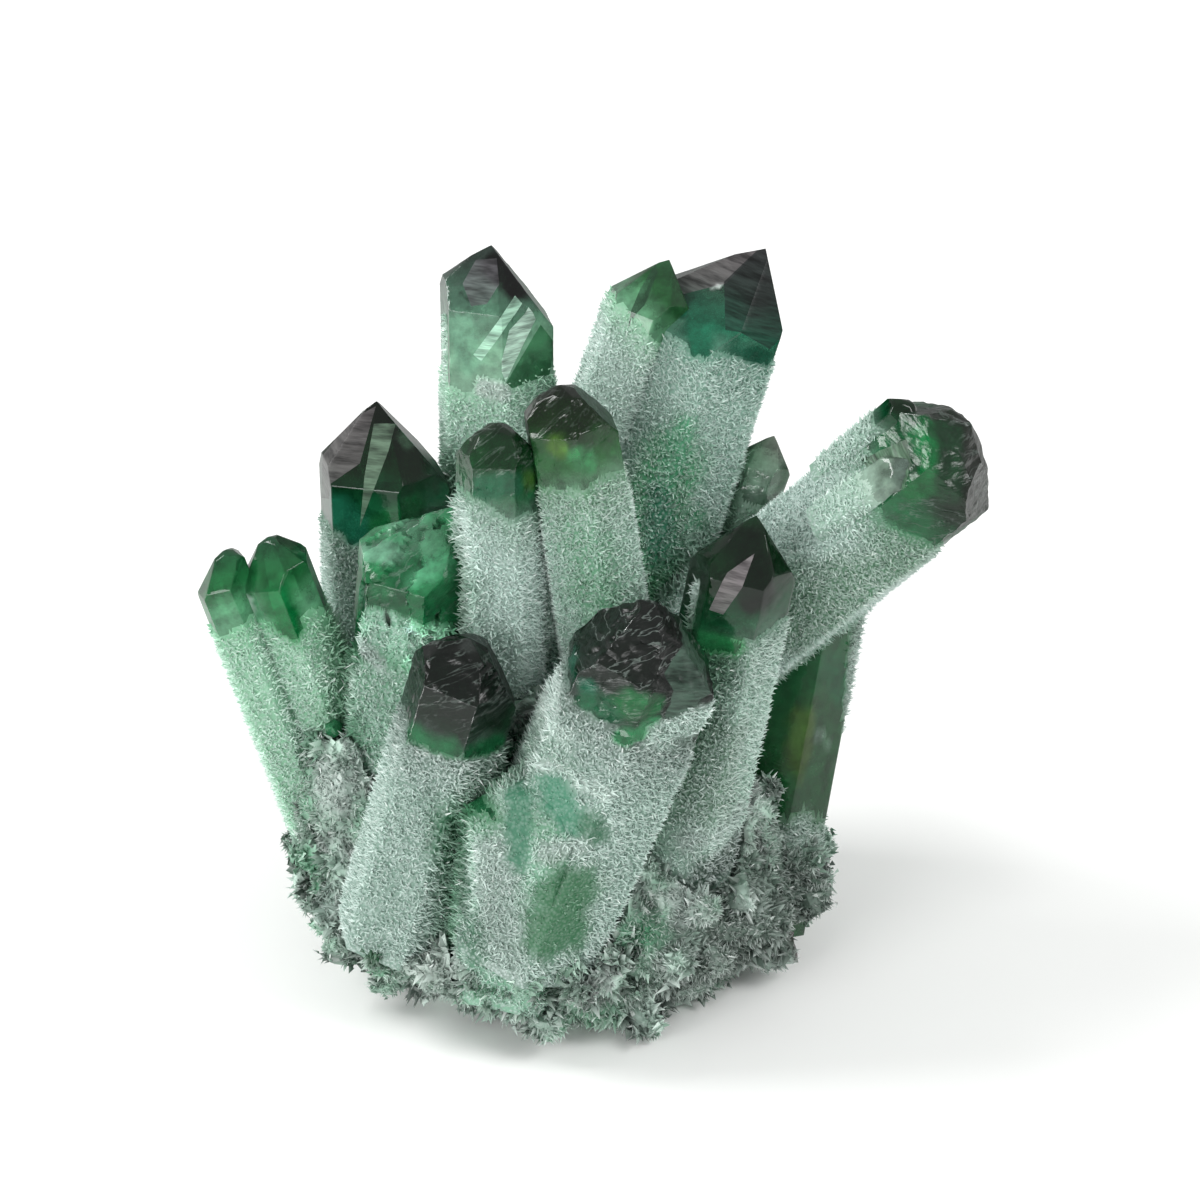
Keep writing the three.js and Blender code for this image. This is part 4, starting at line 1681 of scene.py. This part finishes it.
@dataclass(frozen=True)
class Burst:
    """A burst of blades on the crust. Lengths are in millimetres.

    A pair holds the least of a value and how much more chance may add.

    Attributes:
        blades: The most blades in it.
        size: The length that its blades go by, mostly near the least.
        sway: How far the blades of a place lean together, and over what distance that changes.
        spread: How far each leans by itself.
        foot_spread: How far the feet lie apart.
        sunk: How far the feet are under the surface.
        length: A blade's length as a share of the burst's size.
        radius: Its radius as a share of that.
        flatness: Its thickness as a share of its width.
        tip: The colour of a silver tip.
    """

    blades: int = 24
    size: Pair = (0.7, 1.0)
    sway: Pair = (1.2, 5.0)
    spread: float = 0.55
    foot_spread: float = 0.5
    sunk: float = 0.3
    length: Pair = (0.9, 0.6)
    radius: Pair = (0.3, 0.2)
    flatness: float = 0.35
    tip: str = "#dde7e2"

    def grow(
        self, centres: np.ndarray, outward: np.ndarray, tones: np.ndarray, random: np.random.Generator
    ) -> Spikes:
        """Grow a burst of blades around each centre.

        Args:
            centres: Points in millimetres.
            outward: The surface's direction at each.
            tones: The crust's linear colour at each.
            random: Where the chance comes from.

        Returns:
            The blades.
        """
        size = self.size[0] + self.size[1] * random.random(len(centres)) ** 2
        number = (self.blades * (0.5 + 0.5 * random.random(len(centres)))).astype(int)
        which = np.repeat(np.arange(len(centres)), number)
        count = len(which)
        strength, distance = self.sway
        sway = np.array([noise.noise_vector(Vector(centre) / distance)[:] for centre in centres])
        directions = outward[which] + strength * sway[which] + random.normal(0, self.spread, (count, 3))
        directions /= np.linalg.norm(directions, axis=1)[:, None]
        feet = centres[which] - outward[which] * self.sunk + random.normal(0, self.foot_spread, (count, 3))
        lengths = size[which] * (self.length[0] + self.length[1] * random.random(count))
        radii = size[which] * (self.radius[0] + self.radius[1] * random.random(count))
        tone = tones[which]
        light = np.clip(0.6 + CRUST_LIGHT.at(centres), 0, 1)[which] * random.random(count)
        tips = tone * (1 - light[:, None]) + linear(self.tip) * light[:, None]
        spikes = Spikes(sides=4, flatness=self.flatness)
        spikes.grow(feet, directions, lengths, radii, tone * 0.7, tips)
        return spikes


@dataclass
class Crust:
    """The crust of small crystals that the large ones stand in.

    Attributes:
        node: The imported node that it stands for.
        grain: The longest edge of its mesh, in millimetres.
        rosettes: Bursts of blades on a square millimetre.
        creeping: The same on the low parts of the crystals, before most are left out.
        burst: How a burst grows.
        needles: Needles on a square millimetre.
        needle_spread: How far they lean.
        needle_length: The least length of a needle, and how much more it may be.
        needle_radius: The same of its foot's radius.
        needle_silver: The same of how white its tip is.
        silver: The colour of a white tip.
        patches: Spots of another colour, some of which keep blades and needles away.
    """

    node: str = "druse_base"
    grain: float = 1.2
    rosettes: float = 0.24
    creeping: float = 0.35
    burst: Burst = Burst()
    needles: float = 5.0
    needle_spread: float = 0.6
    needle_length: Pair = (0.6, 0.6)
    needle_radius: Pair = (0.14, 0.1)
    needle_silver: Pair = (0.35, 0.5)
    silver: str = "#dbe5e0"
    patches: tuple[Patch, ...] = (
        Patch((14.0, -20.0, 12.0), 9.0, "#5f7066", end=(24.0, -12.0, 12.0)),
        Patch((-33.9, -14.5, 31.8), 4.0, "#a9b9b1"),
        Patch((-34.4, -15.5, 15.1), 3.0, "#9fb5aa"),
        Patch((-20.0, -28.0, 14.0), 5.0, "#c3d3ca"),
        Patch((-31.1, -26.7, 15.8), 3.6, "#2f7a4a"),
        Patch((-6.8, -30.7, 6.7), 3.0, "#8fa79a"),
        Patch((11.2, -24.2, 20.1), 4.0, "#a3b3ab"),
        # A dark spot without blades or needles, in the hollow by the right front crystal's foot: painted
        # shade
        Patch((13.1, -23.0, 24.0), 3.2, "#0d1f15", 0.0, (17.6, -18.2, 25.3)),
        Patch((1.2, -30.7, 21.0), 3.0, "#2f8a55"),
        Patch((20.2, -18.0, 16.5), 3.0, "#9caea4"),
        Patch((25.4, -8.2, 4.9), 4.0, "#2b2320", 0.0),
    )

    def surface(self) -> BVHTree:
        """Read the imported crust's surface, for tests.

        Returns:
            The surface, in millimetres.
        """
        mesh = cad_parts[self.node].data
        corners = [tuple(vert.co / MM) for vert in mesh.vertices]
        return BVHTree.FromPolygons(corners, [tuple(face.vertices) for face in mesh.polygons])

    def ground(self, material: bpy.types.Material) -> bpy.types.Object:
        """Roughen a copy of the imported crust.

        Args:
            material: Its finish.

        Returns:
            The piece.
        """
        bm = bmesh.new()
        bm.from_mesh(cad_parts[self.node].data)
        bmesh.ops.scale(bm, verts=bm.verts, vec=(1 / MM,) * 3)
        bmesh.ops.remove_doubles(bm, verts=bm.verts, dist=0.003)
        refine(bm, lambda middle: self.grain)
        bm.normal_update()
        for vert in bm.verts:
            if vert.co.z > 0.3:
                depth = 0.25 + 0.5 * noise.noise(vert.co / 1.6) + 0.3 * noise.noise(vert.co / 0.8)
                vert.co -= vert.normal * max(depth, 0)
        places = np.array([vert.co[:] for vert in bm.verts])
        bmesh.ops.scale(bm, verts=bm.verts, vec=(MM,) * 3)
        mesh = bpy.data.meshes.new("druse_ground")
        bm.to_mesh(mesh)
        bm.free()
        mesh.materials.append(material)
        mesh.shade_flat()
        set_attribute(mesh, "tone", "FLOAT_COLOR", "POINT", self.tone_at(places))
        return place_piece("druse_ground", mesh, "druse_crust", self.node)

    def tone_at(self, places: np.ndarray) -> np.ndarray:
        """Colour the crust with greens, greys and silver, dark in the hollows.

        Args:
            places: Points in millimetres.

        Returns:
            The linear colour at each.
        """
        broad = np.clip(0.5 + CRUST_BROAD.at(places), 0, 1)[:, None]
        narrow = np.clip(0.5 + CRUST_NARROW.at(places), 0, 1)[:, None]
        green = linear("#438560") * (1 - broad) + linear("#b9cbc2") * broad
        colour = green * (0.25 + 1.1 * narrow)
        for patch in self.patches:
            weight = patch.weight(places)[:, None]
            colour = colour * (1 - weight) + linear(patch.colour) * weight
        return colour

    def druse(
        self,
        ground: bpy.types.Mesh,
        material: bpy.types.Material,
        crystals: list[Crystal],
        random: np.random.Generator,
    ) -> bpy.types.Object:
        """Grow bursts of blades over the crust.

        Args:
            ground: The mesh of the roughened crust.
            material: The blades' finish.
            crystals: The large crystals, whose sockets stay free.
            random: Where the chance comes from.

        Returns:
            The piece.
        """
        centres, outward = self.open_ground(ground, self.rosettes, crystals, random)
        furred = FUR_AREAS.at(centres) > 0.1
        centres, outward = centres[~furred], outward[~furred]
        blades = self.burst.grow(centres, outward, self.tone_at(centres), random)
        return place_piece("druse_blades", blades.mesh("druse_blades", material, random), "druse_crust")

    def open_ground(
        self, ground: bpy.types.Mesh, per_area: float, crystals: list[Crystal], random: np.random.Generator
    ) -> tuple[np.ndarray, np.ndarray]:
        """Scatter points over the crust, clear of the floor and of the sockets.

        Args:
            ground: The mesh of the roughened crust.
            per_area: Points on a square millimetre.
            crystals: The large crystals.
            random: Where the chance comes from.

        Returns:
            The points in millimetres and the surface's direction at each.
        """
        triangles, _ = triangles_of(ground)
        places, normals = scatter(triangles, per_area, random)
        keep = (places[:, 2] > 0.8) & (normals[:, 2] > -0.8)
        for crystal in crystals:
            keep &= crystal.reach(places, crystal.width / 2) > 0
        keep &= self.grown(places, random)
        return places[keep], normals[keep]

    def grown(self, places: np.ndarray, random: np.random.Generator) -> np.ndarray:
        """Find which places bear blades or needles, by chance where a patch thins them.

        Args:
            places: Points in millimetres.
            random: Where the chance comes from.

        Returns:
            Whether each place bears one.
        """
        keep = np.ones(len(places), bool)
        for patch in self.patches:
            if patch.cover is not None:
                keep &= random.random(len(places)) > (1 - patch.cover) * patch.weight(places)
        return keep

    def fur(
        self,
        ground: bpy.types.Mesh,
        material: bpy.types.Material,
        crystals: list[Crystal],
        random: np.random.Generator,
    ) -> bpy.types.Object:
        """Grow short needles over the parts of the crust that have no blades.

        Args:
            ground: The mesh of the roughened crust.
            material: The needles' finish.
            crystals: The large crystals, whose sockets stay free.
            random: Where the chance comes from.

        Returns:
            The piece.
        """
        feet, outward = self.open_ground(ground, self.needles, crystals, random)
        furred = FUR_AREAS.at(feet) + FUR_EDGES.at(feet) > -0.25
        feet, outward = feet[furred], outward[furred]
        count = len(feet)
        directions = outward + random.normal(0, self.needle_spread, (count, 3))
        directions /= np.linalg.norm(directions, axis=1)[:, None]
        tone = self.tone_at(feet)
        share = (self.needle_silver[0] + self.needle_silver[1] * random.random(count))[:, None]
        tips = tone * (1 - share) + linear(self.silver) * share
        spikes = Spikes()
        lengths = self.needle_length[0] + self.needle_length[1] * random.random(count)
        radii = self.needle_radius[0] + self.needle_radius[1] * random.random(count)
        spikes.grow(feet, directions, lengths, radii, tone * 0.8, tips)
        return place_piece("druse_needles", spikes.mesh("druse_needles", material, random), "druse_crust")

    def creep(
        self,
        stones: dict[str, bpy.types.Mesh],
        material: bpy.types.Material,
        crystals: list[Crystal],
        surface: BVHTree,
        random: np.random.Generator,
    ) -> bpy.types.Object:
        """Grow bursts of blades over the foot of the large crystals, where the crust has climbed them.

        Args:
            stones: The meshes of the large crystals.
            material: The blades' finish.
            crystals: The large crystals.
            surface: The surface of the crust, in millimetres.
            random: Where the chance comes from.

        Returns:
            The piece.
        """
        found = []
        for mesh in stones.values():
            triangles, _ = triangles_of(mesh)
            low = triangles[triangles[:, :, 2].mean(1) < CREEP_TOP]
            if len(low):
                found.append(scatter(low, self.creeping, random))
        places, normals = (np.concatenate(rows) for rows in zip(*found))
        height = places[:, 2] + CREEP_BROAD.at(places) + CREEP_FINE.at(places)
        keep = (height < CREEP_EDGE) & (places[:, 2] > 1.5) & self.grown(places, random)
        reaches = np.stack([crystal.reach(places, crystal.width / 2 - COAT) for crystal in crystals], 1)
        keep &= reaches.min(1) > -0.3
        keep &= CrystalGroup.clear_of_crust(places, normals, surface)
        centres, outward = places[keep], normals[keep]
        blades = self.burst.grow(centres, outward, self.tone_at(centres), random)
        mesh = blades.mesh("druse_on_crystals", material, random)
        return place_piece("druse_on_crystals", mesh, "druse_crust")


@dataclass(frozen=True)
class Studio:
    """A white floor, soft lamps and the camera.

    Attributes:
        target: What the camera looks at, in millimetres.
        distance: How far it stands off.
        elevation: Degrees above the horizon.
        lens: Focal length in millimetres, over a 36 mm sensor.
        lamp_distance: How far the lamps stand off, in metres.
    """

    target: Triple = (0.0, 0.0, 50.0)
    distance: float = 445.0
    elevation: float = 25.0
    lens: float = 105.0
    lamp_distance: float = 1.4

    def camera(self) -> None:
        """Set the camera in front of the cluster, looking down on it a little."""
        data = bpy.data.cameras.new("camera")
        data.lens = self.lens
        data.sensor_width = 36
        data.clip_start = 0.01
        camera = bpy.data.objects.new("camera", data)
        rise = math.radians(self.elevation)
        back = Vector((0, -math.cos(rise), math.sin(rise)))
        camera.location = (Vector(self.target) + back * self.distance) * MM
        camera.rotation_euler = (math.radians(90 - self.elevation), 0, 0)
        bpy.context.scene.collection.objects.link(camera)
        bpy.context.scene.camera = camera

    def floor(self) -> None:
        """Lay a wide white floor just under the cluster."""
        bm = bmesh.new()
        under = Matrix.Translation((0, 0, -0.0002))
        bmesh.ops.create_circle(bm, cap_ends=True, segments=64, radius=4, matrix=under)
        mesh = bpy.data.meshes.new("floor")
        bm.to_mesh(mesh)
        bm.free()
        material, tree, output = new_material("white_paper")
        shader = add_node(
            tree, "BsdfPrincipled", {"Base Color": rgba("#f7f7f6"), "Roughness": 0.9}
        )
        tree.links.new(shader.outputs[0], output.inputs["Surface"])
        mesh.materials.append(material)
        floor = bpy.data.objects.new("floor", mesh)
        bpy.context.scene.collection.objects.link(floor)
        floor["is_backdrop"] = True

    def lamp(self, name: str, azimuth: float, elevation: float, size: float, power: float) -> None:
        """Hang a soft square lamp that faces the cluster, where no face of a point mirrors it to the camera.

        Args:
            name: Its name.
            azimuth: Degrees from the front, towards +X.
            elevation: Degrees above the horizon.
            size: Its side in metres.
            power: Its power in watts.
        """
        data = bpy.data.lights.new(name, "AREA")
        data.size = size
        data.energy = power
        lamp = bpy.data.objects.new(name, data)
        a, e = math.radians(azimuth), math.radians(elevation)
        toward = Vector((math.sin(a) * math.cos(e), -math.cos(a) * math.cos(e), math.sin(e)))
        lamp.location = Vector(self.target) * MM + toward * self.lamp_distance
        lamp.rotation_euler = (-toward).to_track_quat("-Z", "Y").to_euler()
        bpy.context.scene.collection.objects.link(lamp)

    def build(self) -> None:
        """Set up everything."""
        self.camera()
        self.floor()
        self.lamp("key", -35, 15, 0.7, 12)
        self.lamp("side", -95, 42, 0.6, 14)
        self.lamp("fill", 60, 40, 0.6, 10)
        world = bpy.data.worlds.new("studio")
        world.use_nodes = True
        background = world.node_tree.nodes["Background"]
        background.inputs["Color"].default_value = rgba("#f4f6f5")
        background.inputs["Strength"].default_value = 0.6
        bpy.context.scene.world = world
        bpy.context.scene.view_settings.view_transform = "Standard"


def main() -> None:
    """Build the cluster and the studio."""
    logging.basicConfig(level=logging.INFO, format="%(message)s")
    Studio().build()
    finishes = [ClearQuartz().make(), FrostedQuartz().make(), ReflectionPaintedQuartz().make()]
    fur = NeedleQuartz().make()
    druse = NeedleQuartz("druse_blades", roughness=0.25, transmission=0.15).make()
    crust = Crust()
    surface = crust.surface()
    everyone = [crystal for group in GROUPS for crystal in group.crystals]
    ground = crust.ground(druse)
    crust.druse(ground.data, druse, everyone, np.random.default_rng(Seed.BLADES))
    crust.fur(ground.data, druse, everyone, np.random.default_rng(Seed.CRUST_FUR))
    stones = {}
    for number, group in enumerate(GROUPS):
        others = [crystal for crystal in everyone if crystal not in group.crystals]
        stones[group.node] = group.stone(finishes, others).data
        random = np.random.default_rng(Seed.COATS + number)
        group.needles(stones[group.node], fur, others, surface, Coat(), random)
    crust.creep(stones, druse, everyone, surface, np.random.default_rng(Seed.CREEP))
    boxes = {"cad": CAD_BOX, "visual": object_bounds()}
    {key: [list(corner) for corner in box] for key, box in boxes.items()}


if __name__ == "__main__":
    main()
